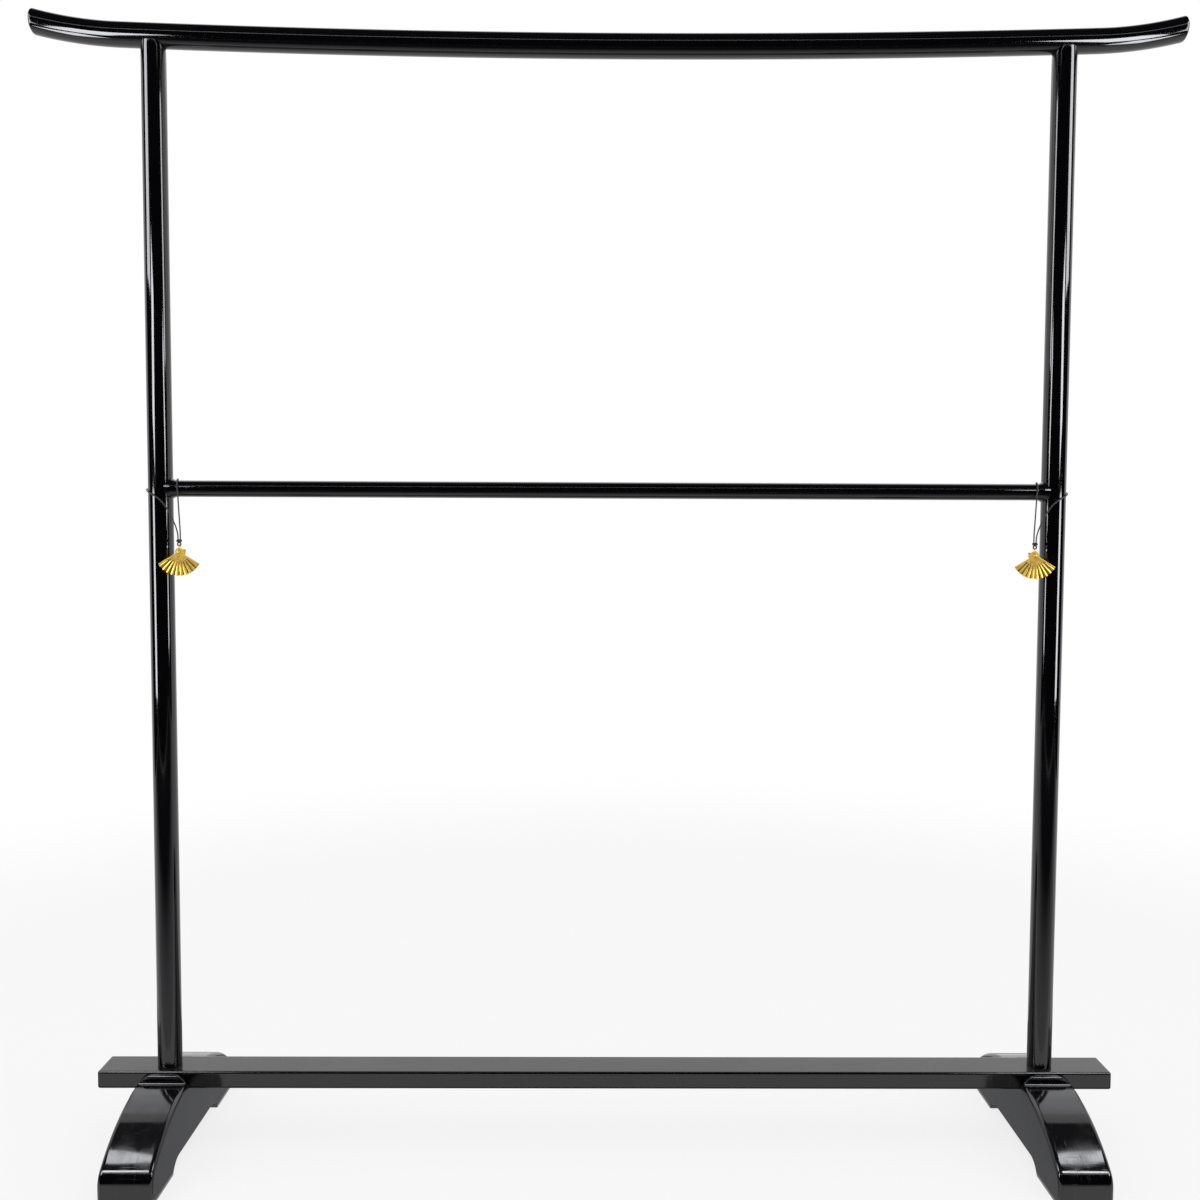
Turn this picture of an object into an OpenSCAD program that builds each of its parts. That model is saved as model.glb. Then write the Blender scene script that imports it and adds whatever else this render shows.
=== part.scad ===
// Lacquered garment stand: two arched feet joined by a base board, two round
// posts, a middle rail, a lift-off upswept garment rail, and two fan clips that
// hang from cord loops tied round the posts.
// Millimetres. Origin on the floor at the centre, +X to the right, +Z up.

/* [Posts and board] */
// Distance between the two post axes
post_gap = 1300; // [1000:5:1600]
// Post diameter
post_d = 35; // [30:0.5:42]
// Length of the base board
board_len = 1496; // [1420:2:1800]
// Depth of the base board, front to back
board_depth = 54; // [46:1:70]
// Thickness of the base board
board_t = 26; // [20:0.5:34]
// Height of the board's underside above the floor
board_lift = 90.5; // [80:0.5:110]
// Rounding of the board's edges
board_round = 2.5; // [1:0.5:6]
// Diameter of the middle rail
mid_rail_d = 24; // [18:0.5:26]
// Height of the middle rail's axis above the floor
mid_rail_z = 972; // [700:2:1200]
// Height of the flare where the middle rail meets a post
flare = 3; // [1:0.25:3.5]
// Length of the flare along the rail
flare_len = 8; // [4:0.5:14]
// Diameter of the middle rail's round tenons
tenon_d = 15; // [10:0.5:16]
// Depth of a tenon inside the post
tenon_len = 12; // [8:0.5:14]

/* [Garment rail] */
// Diameter of the garment rail
rail_d = 35; // [28:0.5:42]
// Height of the rail's axis above the floor, at the posts
rail_z = 1613.5; // [1400:0.5:1800]
// Length of the rail from tip to tip
rail_len = 1642; // [1500:2:1900]
// How far the middle of the rail lies below its height at the posts
rail_dip = 10; // [5:0.5:25]
// Distance from a post axis to the start of the upswept tip
sweep_start = 46; // [30:1:90]
// Bend radius of the upswept tip
sweep_r = 580; // [300:5:700]
// Rounding of the rail's upright end faces
tip_round = 4; // [1:0.5:8]
// Depth from the rail's axis down to the flat of the post top
saddle_drop = 10; // [7:0.5:13]
// Clearance between the rail and its saddle
saddle_gap = 0.3; // [0.2:0.05:0.6]
// Diameter of the locating dowels
dowel_d = 10; // [6:0.5:14]
// Length of a dowel
dowel_len = 50; // [36:1:70]
// How far a dowel reaches above the rail's axis
dowel_rise = 2; // [-4:0.5:6]
// Radial running clearance of a dowel in the rail
dowel_gap = 0.08; // [0.05:0.01:0.1]

/* [Feet] */
// Length of a foot, front to back
foot_len = 366; // [320:2:420]
// Width of a foot
foot_w = 75; // [64:1:96]
// Radius of the rounded toe
toe_r = 30; // [20:1:40]
// Height at which the toe turns upright
toe_z = 25; // [18:1:34]
// Slope at which the long back of the foot meets the toe, in degrees
toe_turn = 40; // [32:1:44]
// Radius of the long sloping back
back_r = 230; // [215:1:260]
// Thickness of the shoulders that hold the board
shoulder_t = 8; // [5:0.5:12]
// Distance from the shoulders' top down from the board's top
shoulder_drop = 3; // [1:0.5:8]
// Rounding of the foot's upper corners, seen from the front
corner_r = 22; // [10:1:28]
// Rounding of a shoulder's top edge
shoulder_round = 3; // [1:0.5:4]
// Radius of the cove between a shoulder and the back of the foot
cove_r = 6; // [3:0.5:8]
// Height of the relief under a foot
relief_h = 16.5; // [8:0.5:22]
// Distance between the centres of the relief's end curves
relief_run = 148; // [110:2:170]
// Radius of the relief's end curves
relief_r = 28; // [23:1:36]
// Clearance between the board and the sides of its notch
notch_gap = 0.1; // [0.05:0.05:0.3]

/* [Base fasteners] */
// Diameter of the bolt that clamps foot, board and post
bolt_d = 8; // [6:0.5:10]
// Length of the bolt below its head
bolt_len = 90; // [86:1:96]
// Diameter of the bolt's head
bolt_head_d = 13; // [12:0.5:16]
// Height of the bolt's head
bolt_head_h = 8; // [5:0.5:9]
// Width across the corners of the bolt's hexagon socket
socket_d = 6.8; // [5:0.2:7.4]
// Depth of the hexagon socket
socket_deep = 4; // [2:0.5:4.5]
// Radial clearance of the bolt in wood
bolt_gap = 0.3; // [0.1:0.05:0.6]
// Height of the counterbore's ceiling above the floor
counterbore_z = 40; // [34:0.5:42]
// Diameter of the counterbore
counterbore_d = 20; // [19:0.5:24]
// Diameter of the washer
washer_d = 17; // [15:0.5:18.5]
// Thickness of the washer
washer_t = 1.6; // [1:0.1:2.5]
// Outer diameter of the threaded insert in the post
insert_d = 12; // [11.5:0.5:15]
// Length of the threaded insert
insert_len = 25; // [20:1:32]
// Diameter of the spigot under a post
spigot_d = 22; // [18:0.5:26]
// Length of the spigot
spigot_len = 12; // [8:0.5:16]
// Clearance round and under the spigot
spigot_gap = 0.1; // [0.05:0.05:0.3]

/* [Fan clip] */
// Radius of the fan from its apex to its edge
fan_r = 34; // [30:0.5:38]
// Angle over which the fan opens, in degrees
fan_angle = 118; // [90:2:130]
// Number of pleats
pleats = 10; // [7:1:13]
// Depth of a pleat at the fan's edge
pleat_deep = 1.3; // [0.8:0.1:1.4]
// Radius of the smooth hub of the fan
hub_r = 15; // [12:0.5:18]
// Thickness of the fan's stamped sheet
fan_t = 0.8; // [0.6:0.1:1.2]
// Width of the two guard ribs at the fan's sides
guard_w = 2.2; // [1.4:0.1:3]
// Distance from the swing axis down to the fan's apex
apex_drop = 11; // [10.6:0.1:12]
// Width of the jaws
jaw_w = 12; // [11:0.5:14]
// Thickness of the jaws' sheet metal
jaw_t = 1; // [0.8:0.05:1.2]
// Distance from the swing axis down to the tip of the jaws
jaw_drop = 42; // [39:0.5:44]
// Distance from the swing axis down to the pivot pin
pivot_drop = 20; // [19:0.25:21]
// Distance from the front jaw's middle plane back to the pivot pin
pivot_back = 3.9; // [3.6:0.1:4.4]
// Pivot pin diameter
pin_d = 2; // [1.6:0.1:2.2]
// Radial running clearance of the pivot pin
pin_gap = 0.06; // [0.03:0.01:0.1]
// Gap left between the closed jaws
mouth_gap = 0.3; // [0.2:0.05:0.5]
// Wire diameter of the jaw spring
wire_d = 0.8; // [0.6:0.05:0.9]
// Number of spring coils
coils = 4; // [3:1:4]
// Mean radius of the ring that joins clip and cord
ring_r = 3.5; // [3.2:0.05:3.6]
// Wire diameter of that ring
ring_wire = 1.2; // [1:0.05:1.3]

/* [Cord loops] */
// Diameter of the cord
cord_d = 2; // [1.6:0.1:2.1]
// Diameter of the knot
knot_d = 6.8; // [6:0.2:7.6]

/* [Hidden] */

LACQUER = [0.05, 0.05, 0.06];
GOLD = [0.85, 0.62, 0.22];
STEEL = [0.62, 0.63, 0.65];
BRASS = [0.72, 0.58, 0.30];
CORD = [0.12, 0.10, 0.12];

$fn = 96;
EPS = 0.01; // overlap that keeps a cut or a joint clean
SWEEP_STEP = 0.15; // the rail's sweep is thinner than its long arc by this much

post_x = -post_gap / 2;
board_top = board_lift + board_t;
post_top = rail_z - saddle_drop;
saddle_r = rail_d / 2 + saddle_gap;

// Garment rail: one long arc between the sweeps, then a tighter arc at each tip
long_r = (pow(post_gap / 2, 2) + pow(rail_dip, 2)) / (2 * rail_dip);
long_z = rail_z - rail_dip + long_r;
long_a = asin((post_gap / 2 + sweep_start) / long_r);
post_a = asin(post_gap / 2 / long_r);
sweep_x = (long_r - sweep_r) * sin(long_a);
sweep_z = long_z - (long_r - sweep_r) * cos(long_a);
tip_a = asin((rail_len / 2 - sweep_x) / sweep_r);
tip_z = sweep_z - sweep_r * cos(tip_a);
LONG_FN = 2400; // fine enough for an arc of a few degrees
SWEEP_FN = 360;

// Foot profile: the toe circle touches the long back arc at the toe_turn slope
toe_y = foot_len / 2 - toe_r;
touch_y = toe_y + toe_r * sin(toe_turn);
touch_z = toe_z + toe_r * cos(toe_turn);
back_y = touch_y - back_r * sin(toe_turn);
back_z = touch_z - back_r * cos(toe_turn);
shoulder_y = board_depth / 2 + notch_gap + shoulder_t;
shoulder_top = board_top - shoulder_drop;
cove_y = shoulder_y + cove_r;
cove_z = back_z + sqrt(pow(back_r, 2) - pow(cove_y - back_y, 2)) + cove_r;

// Base fasteners
insert_z = board_top - spigot_len;
head_z = counterbore_z - washer_t;

// Fan clip, measured from its swing axis: x across, y to the back, z up
clip_y = -18.6;
clip_u = 32;
knot_z = mid_rail_z - 75.5;
bight_r = 1.4 + cord_d / 2;
bight_z = knot_z - knot_d / 2 - bight_r + 0.9;
LINK_GAP = 0.12; // clearance where the ring hangs in the cord's bight
swing_z = bight_z - bight_r + cord_d / 2 + ring_wire / 2 + LINK_GAP;
lug_r = pin_d / 2 + 1.2;
lug_t = 1;
LUG_GAP = 0.4; // side clearance between the lugs of the two jaws
inner_lug_x = jaw_w / 2 - lug_t - LUG_GAP;
eye_r = ring_wire / 2 + 0.7;
eye_z = -2 * ring_r - eye_r + ring_wire / 2 + 0.3;
tail_z = eye_z + eye_r + 1.6;
back_plate_y = pivot_back + lug_r + 0.5 + jaw_t / 2;
back_tail_z = tail_z - 2.5;
tail_flare = 3;
fold_deep = 0.6 * pleat_deep; // a ridge or valley's height above or below the sheet's middle
sheet_y = -jaw_t / 2 - fan_t - fold_deep;
hub_t = 1.5 * fan_t + fold_deep + 0.2;
spring_r = pin_d / 2 + wire_d / 2 + 0.5;
spring_pitch = wire_d + 0.45;
RINGS_PER_COIL = 8;

// Route of a cord loop, by hand: u inward from the post axis, y to the back,
// z up from the middle rail's axis. It runs from the knot up the rail's front,
// over the rail, behind and round the post, and down to the knot again.
CORD_ROUTE = [
  [33.6, -18.4, -73.0], [33.4, -18.0, -62.0], [32.0, -16.6, -44.0], [30.4, -14.8, -24.0],
  [29.2, -13.8, -8.0], [28.2, -13.6, 1.0], [27.4, -11.2, 8.0], [26.4, -5.8, 12.6],
  [25.0, 1.0, 14.0], [22.6, 8.0, 13.4], [18.0, 14.0, 12.0], [11.0, 17.4, 9.6],
  [2.0, 19.0, 7.0], [-8.0, 17.4, 4.4], [-15.2, 11.6, 2.0], [-18.8, 3.3, 0.0],
  [-18.0, -6.2, -2.4], [-13.0, -14.0, -5.4], [-5.0, -18.5, -9.6], [4.4, -19.0, -16.0],
  [13.0, -19.0, -26.0], [20.4, -19.0, -39.0], [26.6, -18.9, -53.0], [29.8, -18.8, -64.0],
  [30.4, -18.8, -73.0]];
CORD_SIDES = 8;
CORD_STEPS = 3; // rings for each stretch between two points

// Point on the smooth curve through four neighbouring points
function through(a, b, c, d, t) =
  0.5 * (2 * b + (c - a) * t + (2 * a - 5 * b + 4 * c - d) * t * t
    + (3 * b - a - 3 * c + d) * t * t * t);
function route_curve(p, steps) = let (n = len(p)) concat(
  [for (i = [0 : n - 2], s = [0 : steps - 1])
    through(p[max(i - 1, 0)], p[i], p[i + 1], p[min(i + 2, n - 1)], s / steps)],
  [p[n - 1]]);
function unit(v) = v / norm(v);
function heading(p, i) = unit(p[min(i + 1, len(p) - 1)] - p[max(i - 1, 0)]);
// Side direction that is carried along the path without twisting
function carried(p, i, side) =
  i == len(p) - 1 ? [side]
  : concat([side], carried(p, i + 1,
      unit(side - (side * heading(p, i + 1)) * heading(p, i + 1))));
function total(v, i = 0) = i == len(v) ? 0 : v[i] + total(v, i + 1);
function path_length(p) = total([for (i = [1 : len(p) - 1]) norm(p[i] - p[i - 1])]);
// Least gap between the turns of a wire of diameter d, leaving out its nearest rings
function least_gap(p, d, near) =
  min([for (i = [0 : len(p) - 1 - near], k = [i + near : len(p) - 1]) norm(p[k] - p[i])]) - d;

// Tube of radius r and flat ends along the points p
module tube(p, r, sides, start) {
  n = len(p);
  sidev = carried(p, 0, unit(start - (start * heading(p, 0)) * heading(p, 0)));
  points = [for (i = [0 : n - 1], k = [0 : sides - 1])
    let (a = 360 * k / sides)
    p[i] + r * (cos(a) * sidev[i] + sin(a) * cross(heading(p, i), sidev[i]))];
  walls = [for (i = [0 : n - 2], k = [0 : sides - 1], half = [0, 1])
    let (k2 = (k + 1) % sides, a = i * sides, b = a + sides)
    half == 0 ? [a + k, b + k, b + k2] : [a + k, b + k2, a + k2]];
  ends = [for (k = [1 : sides - 2], half = [0, 1])
    let (b = (n - 1) * sides)
    half == 0 ? [0, k, k + 1] : [b, b + k + 1, b + k]];
  polyhedron(points, concat(walls, ends));
}

// The left clip's own frame, hung on its swing axis
module at_clip() {
  translate([post_x + clip_u, clip_y, swing_z]) children();
}
// The stand is symmetric: what is drawn on one side is mirrored to the other
module mirrored() {
  mirror([1, 0, 0]) children();
}
// Turns a profile drawn as [y, z] into a slab of width w centred on x = 0
module side_slab(w) {
  rotate([90, 0, 90]) linear_extrude(w, center = true) children();
}
module cylinder_x(r, length) {
  rotate([0, 90, 0]) cylinder(r = r, h = length, center = true);
}

// ---- Garment rail ----
// Bar bent in the X-Z plane round an axis above it, from angle a to angle b
module bent_bar(bend_r, a, b, r, fine) {
  rotate([90, 0, 0]) rotate([0, 0, a - 90])
    rotate_extrude(angle = b - a, $fn = fine) translate([bend_r, 0]) circle(r = r, $fn = 64);
}
// Waste outside an upright end face with a rounded rim, whose middle is the origin
module end_waste(r, rim) {
  translate([-rim, 0, 0]) rotate([0, 90, 0]) difference() {
    cylinder(r = 2 * r, h = 3 * r);
    rotate_extrude($fn = 64) {
      translate([0, -1]) square([r - rim, rim + 1]);
      translate([0, -1]) square([r, 1]);
      translate([r - rim, 0]) circle(r = rim);
    }
  }
}
// From the middle of the rail to its upswept right tip. The sweep is a little
// thinner than the long arc and starts inside it, so that the two join cleanly.
module rail_half() {
  r = rail_d / 2;
  start = asin(2 / sweep_r);
  past = asin(rail_d / 2 / sweep_r);
  difference() {
    union() {
      translate([0, 0, long_z]) bent_bar(long_r, 0, long_a, r, LONG_FN);
      translate([sweep_x, 0, sweep_z])
        bent_bar(sweep_r, long_a - start, tip_a + past, r - SWEEP_STEP, SWEEP_FN);
    }
    translate([-post_x, 0, rail_z - rail_d])
      cylinder(d = dowel_d + 2 * dowel_gap, h = rail_d + dowel_rise + 1);
    translate([rail_len / 2, 0, tip_z]) end_waste(r / cos(tip_a) + tip_round * tan(tip_a), tip_round);
  }
}
// Round seat of radius r that the rail leaves in the left post's top
module rail_seat(r) {
  reach = asin(post_d / long_r);
  translate([0, 0, long_z]) bent_bar(long_r, -post_a - reach, reach - post_a, r, LONG_FN);
}
module top_rail() {
  color(LACQUER) {
    rail_half();
    mirrored() rail_half();
  }
}
module rail_dowel() {
  tip = 1;
  color(STEEL) translate([post_x, 0, rail_z + dowel_rise - dowel_len]) {
    cylinder(d1 = dowel_d - 2 * tip, d2 = dowel_d, h = tip);
    translate([0, 0, tip]) cylinder(d = dowel_d, h = dowel_len - 2 * tip);
    translate([0, 0, dowel_len - tip]) cylinder(d1 = dowel_d, d2 = dowel_d - 2 * tip, h = tip);
  }
}

// ---- Posts and middle rail ----
module post() {
  color(LACQUER) difference() {
    union() {
      translate([post_x, 0, board_top]) cylinder(d = post_d, h = post_top - board_top);
      translate([post_x, 0, board_top - spigot_len]) cylinder(d = spigot_d, h = spigot_len + EPS);
    }
    rail_seat(saddle_r);
    translate([post_x, 0, rail_z + dowel_rise - dowel_len]) cylinder(d = dowel_d, h = dowel_len);
    translate([post_x + post_d / 2, 0, mid_rail_z]) cylinder_x(tenon_d / 2, 2 * tenon_len);
    translate([post_x, 0, insert_z - EPS]) cylinder(d = insert_d, h = insert_len + EPS);
    translate([post_x, 0, insert_z]) cylinder(d = bolt_d, h = insert_len + 6);
  }
}
module middle_rail() {
  half = post_gap / 2;
  r = mid_rail_d / 2;
  root = half - post_d / 2;
  flare_r = (pow(flare_len, 2) + pow(flare, 2)) / (2 * flare);
  color(LACQUER) translate([0, 0, mid_rail_z]) {
    difference() {
      rotate([0, 90, 0]) rotate_extrude() {
        translate([0, -half]) square([r, 2 * half]);
        for (side = [0, 1]) mirror([0, side]) difference() {
          translate([0, root - flare_len]) square([r + flare, half - root + flare_len]);
          translate([r + flare_r + EPS, root - flare_len]) circle(r = flare_r, $fn = 180);
        }
      }
      for (x = [-half, half]) translate([x, 0, 0])
        cylinder(d = post_d, h = 4 * mid_rail_d, center = true);
    }
    for (x = [-root, root]) translate([x, 0, 0]) cylinder_x(tenon_d / 2, 2 * tenon_len);
  }
}

// ---- Base ----
// Rectangle of width w and height h on the x axis, with rounded corners
module rounded_bar(w, h, r) {
  translate([-w / 2, r]) square([w, h - 2 * r]);
  translate([r - w / 2, 0]) square([w - 2 * r, h]);
  for (x = [r - w / 2, w / 2 - r], y = [r, h - r]) translate([x, y]) circle(r = r, $fn = 32);
}
module base_board() {
  color(LACQUER) difference() {
    translate([0, 0, board_lift]) intersection() {
      rotate([90, 0, 0]) linear_extrude(board_depth + 2, center = true)
        rounded_bar(board_len, board_t, board_round);
      side_slab(board_len + 2) rounded_bar(board_depth, board_t, board_round);
    }
    for (x = [post_x, -post_x]) {
      translate([x, 0, board_lift - 1]) cylinder(d = bolt_d + 2 * bolt_gap, h = board_t);
      translate([x, 0, board_top - spigot_len - spigot_gap])
        cylinder(d = spigot_d + 2 * spigot_gap, h = board_t);
    }
  }
}
// Front half of the foot seen from the side, y measured forward from the middle
module foot_half_side() {
  intersection() {
    translate([back_y, back_z]) circle(r = back_r, $fn = 720);
    square([touch_y, board_top]);
  }
  translate([toe_y, toe_z]) circle(r = toe_r);
  square([foot_len / 2, toe_z]);
  square([toe_y, toe_z + toe_r]);
  square([shoulder_y, shoulder_top - shoulder_round]);
  square([shoulder_y - shoulder_round, shoulder_top]);
  translate([shoulder_y - shoulder_round, shoulder_top - shoulder_round])
    circle(r = shoulder_round);
  difference() {
    translate([0, cove_z - 2 * cove_r]) square([cove_y, 2 * cove_r]);
    translate([cove_y, cove_z]) circle(r = cove_r);
  }
}
module relief_side() {
  square([relief_run, 2 * relief_h], center = true);
  for (s = [-1, 1]) translate([s * relief_run / 2, relief_h - relief_r]) circle(r = relief_r);
}
// Front outline of the foot: upright sides and two rounded upper corners
module foot_front() {
  translate([-foot_w / 2, 0]) square([foot_w, shoulder_top - corner_r]);
  translate([corner_r - foot_w / 2, 0]) square([foot_w - 2 * corner_r, shoulder_top]);
  for (s = [-1, 1]) translate([s * (foot_w / 2 - corner_r), shoulder_top - corner_r])
    circle(r = corner_r);
}
module foot() {
  color(LACQUER) translate([post_x, 0, 0]) difference() {
    intersection() {
      side_slab(foot_w + 2) {
        foot_half_side();
        mirror([1, 0]) foot_half_side();
      }
      rotate([90, 0, 0]) linear_extrude(foot_len + 2, center = true) foot_front();
    }
    side_slab(foot_w + 4) relief_side();
    translate([0, 0, board_lift + board_t])
      cube([foot_w + 2, board_depth + 2 * notch_gap, 2 * board_t], center = true);
    cylinder(d = counterbore_d, h = counterbore_z);
    cylinder(d = bolt_d + 2 * bolt_gap, h = board_top);
  }
}
module base_bolt() {
  color(STEEL) translate([post_x, 0, head_z]) difference() {
    union() {
      translate([0, 0, -bolt_head_h]) cylinder(d = bolt_head_d, h = bolt_head_h);
      cylinder(d = bolt_d, h = bolt_len);
    }
    translate([0, 0, -bolt_head_h - 1]) cylinder(d = socket_d, h = socket_deep + 1, $fn = 6);
  }
}
module base_washer() {
  color(STEEL) translate([post_x, 0, head_z]) difference() {
    cylinder(d = washer_d, h = washer_t);
    translate([0, 0, -1]) cylinder(d = bolt_d + 2 * bolt_gap, h = washer_t + 2);
  }
}
module post_insert() {
  color(BRASS) translate([post_x, 0, insert_z]) difference() {
    cylinder(d = insert_d, h = insert_len);
    translate([0, 0, -1]) cylinder(d = bolt_d, h = insert_len + 2);
  }
}

// ---- Cord loop ----
module cord_loop() {
  route = [for (p = CORD_ROUTE) [post_x + p[0], p[1], mid_rail_z + p[2]]];
  color(CORD) tube(route_curve(route, CORD_STEPS), cord_d / 2, CORD_SIDES, [0, 1, 0]);
}
// Knot with the short bight below it that carries the ring
module cord_knot() {
  color(CORD) translate([post_x + clip_u, clip_y, 0]) {
    translate([0, 0, knot_z]) sphere(d = knot_d, $fn = 48);
    translate([0, 0, bight_z]) rotate([90, 0, 0]) rotate_extrude($fn = 48)
      translate([bight_r, 0]) circle(d = cord_d, $fn = 24);
  }
}

// ---- Fan clip ----
module clip_ring() {
  color(GOLD) at_clip() translate([0, 0, -ring_r]) rotate([0, 90, 0])
    rotate_extrude($fn = 48) translate([ring_r, 0]) circle(d = ring_wire, $fn = 24);
}
// Pleated sheet between the hub and the scalloped edge, ridge and valley in turn.
// The folds grow from nothing at the hub to their full height at the edge.
module pleated_sheet() {
  last = 2 * pleats;
  points = [for (side = [1, -1], i = [0 : last], outer = [0, 1])
    let (a = fan_angle * (i / last - 0.5), ridge = i % 2,
      r = outer == 0 ? hub_r - 1.5 : fan_r - 1 + ridge,
      fold = (0.15 + 0.85 * outer) * fold_deep * (1 - 2 * ridge))
    [r * sin(a), sheet_y + fold + side * fan_t / 2, -r * cos(a)]];
  front = 2 * (last + 1); // points on the front face follow those on the back
  back_faces = [for (a = [0 : 2 : 2 * last - 2], f = [[a, a + 1, a + 3], [a, a + 3, a + 2]]) f];
  front_faces = [for (f = back_faces) [front + f[0], front + f[2], front + f[1]]];
  inner_faces = [for (a = [0 : 2 : 2 * last - 2],
    f = [[a, a + 2, front + a + 2], [a, front + a + 2, front + a]]) f];
  outer_faces = [for (f = inner_faces) [f[0] + 1, f[2] + 1, f[1] + 1]];
  end = 2 * last;
  end_faces = [[0, front, front + 1], [0, front + 1, 1],
    [end, front + end + 1, front + end], [end, end + 1, front + end + 1]];
  polyhedron(points, concat(back_faces, front_faces, inner_faces, outer_faces, end_faces));
}
// Sector of a disc, opening downwards, drawn as [x, z]
module sector(r, angle) {
  reach = 2 * r;
  intersection() {
    circle(r = r);
    polygon([[0, 0], [-reach * sin(angle / 2), -reach * cos(angle / 2)], [0, -2 * reach],
      [reach * sin(angle / 2), -reach * cos(angle / 2)]]);
  }
}
// Slab drawn as [x, z] whose back face lies at y
module front_slab(y, t) {
  translate([0, y, 0]) rotate([90, 0, 0]) linear_extrude(t) children();
}
module fan() {
  back_face = -jaw_t / 2;
  color(GOLD) at_clip() translate([0, 0, -apex_drop]) difference() {
    union() {
      pleated_sheet();
      front_slab(back_face, hub_t) sector(hub_r, fan_angle - 2);
      front_slab(back_face, hub_t) circle(r = 3);
      for (s = [-1, 1]) rotate([0, s * fan_angle / 2, 0])
        front_slab(back_face, hub_t + 0.3) translate([-guard_w / 2, -fan_r])
          square([guard_w, fan_r - 1]);
    }
    rotate([90, 0, 0]) cylinder(d = pin_d, h = 20, center = true, $fn = 32);
  }
}
// Rivet with a broad head on the fan and a small one behind the jaw
module fan_rivet() {
  head_t = 0.8;
  front_y = -jaw_t / 2 - hub_t - 0.3;
  color(GOLD) at_clip() translate([0, 0, -apex_drop]) {
    front_slab(front_y, head_t) circle(r = 2.2, $fn = 32);
    front_slab(jaw_t / 2, jaw_t / 2 - front_y) circle(d = pin_d, $fn = 32);
    front_slab(jaw_t / 2 + 0.6, 0.6) circle(r = pin_d / 2 + 0.5, $fn = 32);
  }
}
module pin_bore() {
  translate([0, pivot_back, -pivot_drop]) cylinder_x(pin_d / 2 + pin_gap, 4 * jaw_w);
}
// Pair of lugs from the plate at y to the pivot, with outer faces at x = side
module lugs(side, y) {
  for (s = [-1, 1]) translate([s * (side - lug_t / 2), 0, 0]) side_slab(lug_t) {
    translate([pivot_back, -pivot_drop]) circle(r = lug_r, $fn = 48);
    translate([min(y, pivot_back), -pivot_drop - lug_r])
      square([abs(y - pivot_back), 2 * lug_r]);
  }
}
module front_jaw() {
  color(GOLD) at_clip() difference() {
    union() {
      front_slab(jaw_t / 2, jaw_t) {
        translate([-jaw_w / 2, 1 - jaw_drop])
          square([jaw_w, jaw_drop - 1 + tail_z - jaw_w / 2]);
        translate([0, tail_z - jaw_w / 2]) circle(d = jaw_w);
        translate([1 - jaw_w / 2, -jaw_drop]) square([jaw_w - 2, 2]);
      }
      lugs(jaw_w / 2, 0);
    }
    translate([0, 0, eye_z]) rotate([90, 0, 0]) cylinder(r = eye_r, h = 10, center = true);
    translate([0, 0, -apex_drop]) rotate([90, 0, 0])
      cylinder(d = pin_d, h = 10, center = true, $fn = 32);
    pin_bore();
  }
}
// Bent sheet of the back jaw seen from the side: flared thumb tail, back, mouth
module back_jaw_side() {
  t = jaw_t;
  mouth = jaw_t / 2 + mouth_gap;
  knee = -pivot_drop - lug_r;
  top = -pivot_drop + lug_r;
  y = back_plate_y - t / 2;
  polygon([
    [y, top], [y + tail_flare, back_tail_z], [y + tail_flare + t, back_tail_z],
    [y + t, top], [y + t, knee], [mouth + t, 3 - jaw_drop], [mouth + t, -jaw_drop],
    [mouth, -jaw_drop], [mouth, 2.8 - jaw_drop], [y, knee]]);
}
module back_jaw() {
  color(GOLD) at_clip() difference() {
    union() {
      side_slab(jaw_w) back_jaw_side();
      lugs(inner_lug_x, back_plate_y);
    }
    pin_bore();
  }
}
module pivot_pin() {
  head = 0.6;
  color(STEEL) at_clip() translate([0, pivot_back, -pivot_drop]) {
    cylinder_x(pin_d / 2, jaw_w + 2 * head);
    for (s = [-1, 1]) translate([s * (jaw_w / 2 + LUG_GAP + head / 2), 0, 0])
      cylinder_x(pin_d / 2 + 0.5, head);
  }
}
// Torsion spring: coils round the pin and a leg on each jaw's tail
function spring_path() = let (
    swept = 360 * coils + 180,
    last = RINGS_PER_COIL * (coils + 0.5),
    half = spring_pitch * (coils + 0.5) / 2,
    front_y = jaw_t / 2 + wire_d / 2 + 0.1,
    back_y = pivot_back + spring_r,
    coil = [for (i = [0 : last]) let (a = 180 + swept * i / last)
      [half * (2 * i / last - 1), pivot_back + spring_r * cos(a), spring_r * sin(a) - pivot_drop]])
  concat(
    [[-half, front_y, -apex_drop - 1], [-half, front_y + 0.2, 3.5 - pivot_drop]], coil,
    [[half, back_y + 0.3, 3 - pivot_drop], [half, back_y + 1.9, 8 - pivot_drop]]);
module jaw_spring() {
  color(STEEL) at_clip() tube(spring_path(), wire_d / 2, 6, [1, 0, 0]);
}

echo(cord_length = path_length(route_curve(CORD_ROUTE, 12)));
echo(spring_gap_to_itself = least_gap(spring_path(), wire_d, RINGS_PER_COIL - 2));

top_rail();
post();  // left_post
mirrored() post();  // right_post
middle_rail();
base_board();
foot();  // left_foot
mirrored() foot();  // right_foot
rail_dowel();  // left_rail_dowel
mirrored() rail_dowel();  // right_rail_dowel
base_bolt();  // left_base_bolt
mirrored() base_bolt();  // right_base_bolt
base_washer();  // left_base_washer
mirrored() base_washer();  // right_base_washer
post_insert();  // left_post_insert
mirrored() post_insert();  // right_post_insert
cord_loop();  // left_cord_loop
cord_knot();  // left_cord_knot
clip_ring();  // left_clip_ring
fan();  // left_fan
fan_rivet();  // left_fan_rivet
front_jaw();  // left_front_jaw
back_jaw();  // left_back_jaw
pivot_pin();  // left_pivot_pin
jaw_spring();  // left_jaw_spring
mirrored() cord_loop();  // right_cord_loop
mirrored() cord_knot();  // right_cord_knot
mirrored() clip_ring();  // right_clip_ring
mirrored() fan();  // right_fan
mirrored() fan_rivet();  // right_fan_rivet
mirrored() front_jaw();  // right_front_jaw
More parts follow.
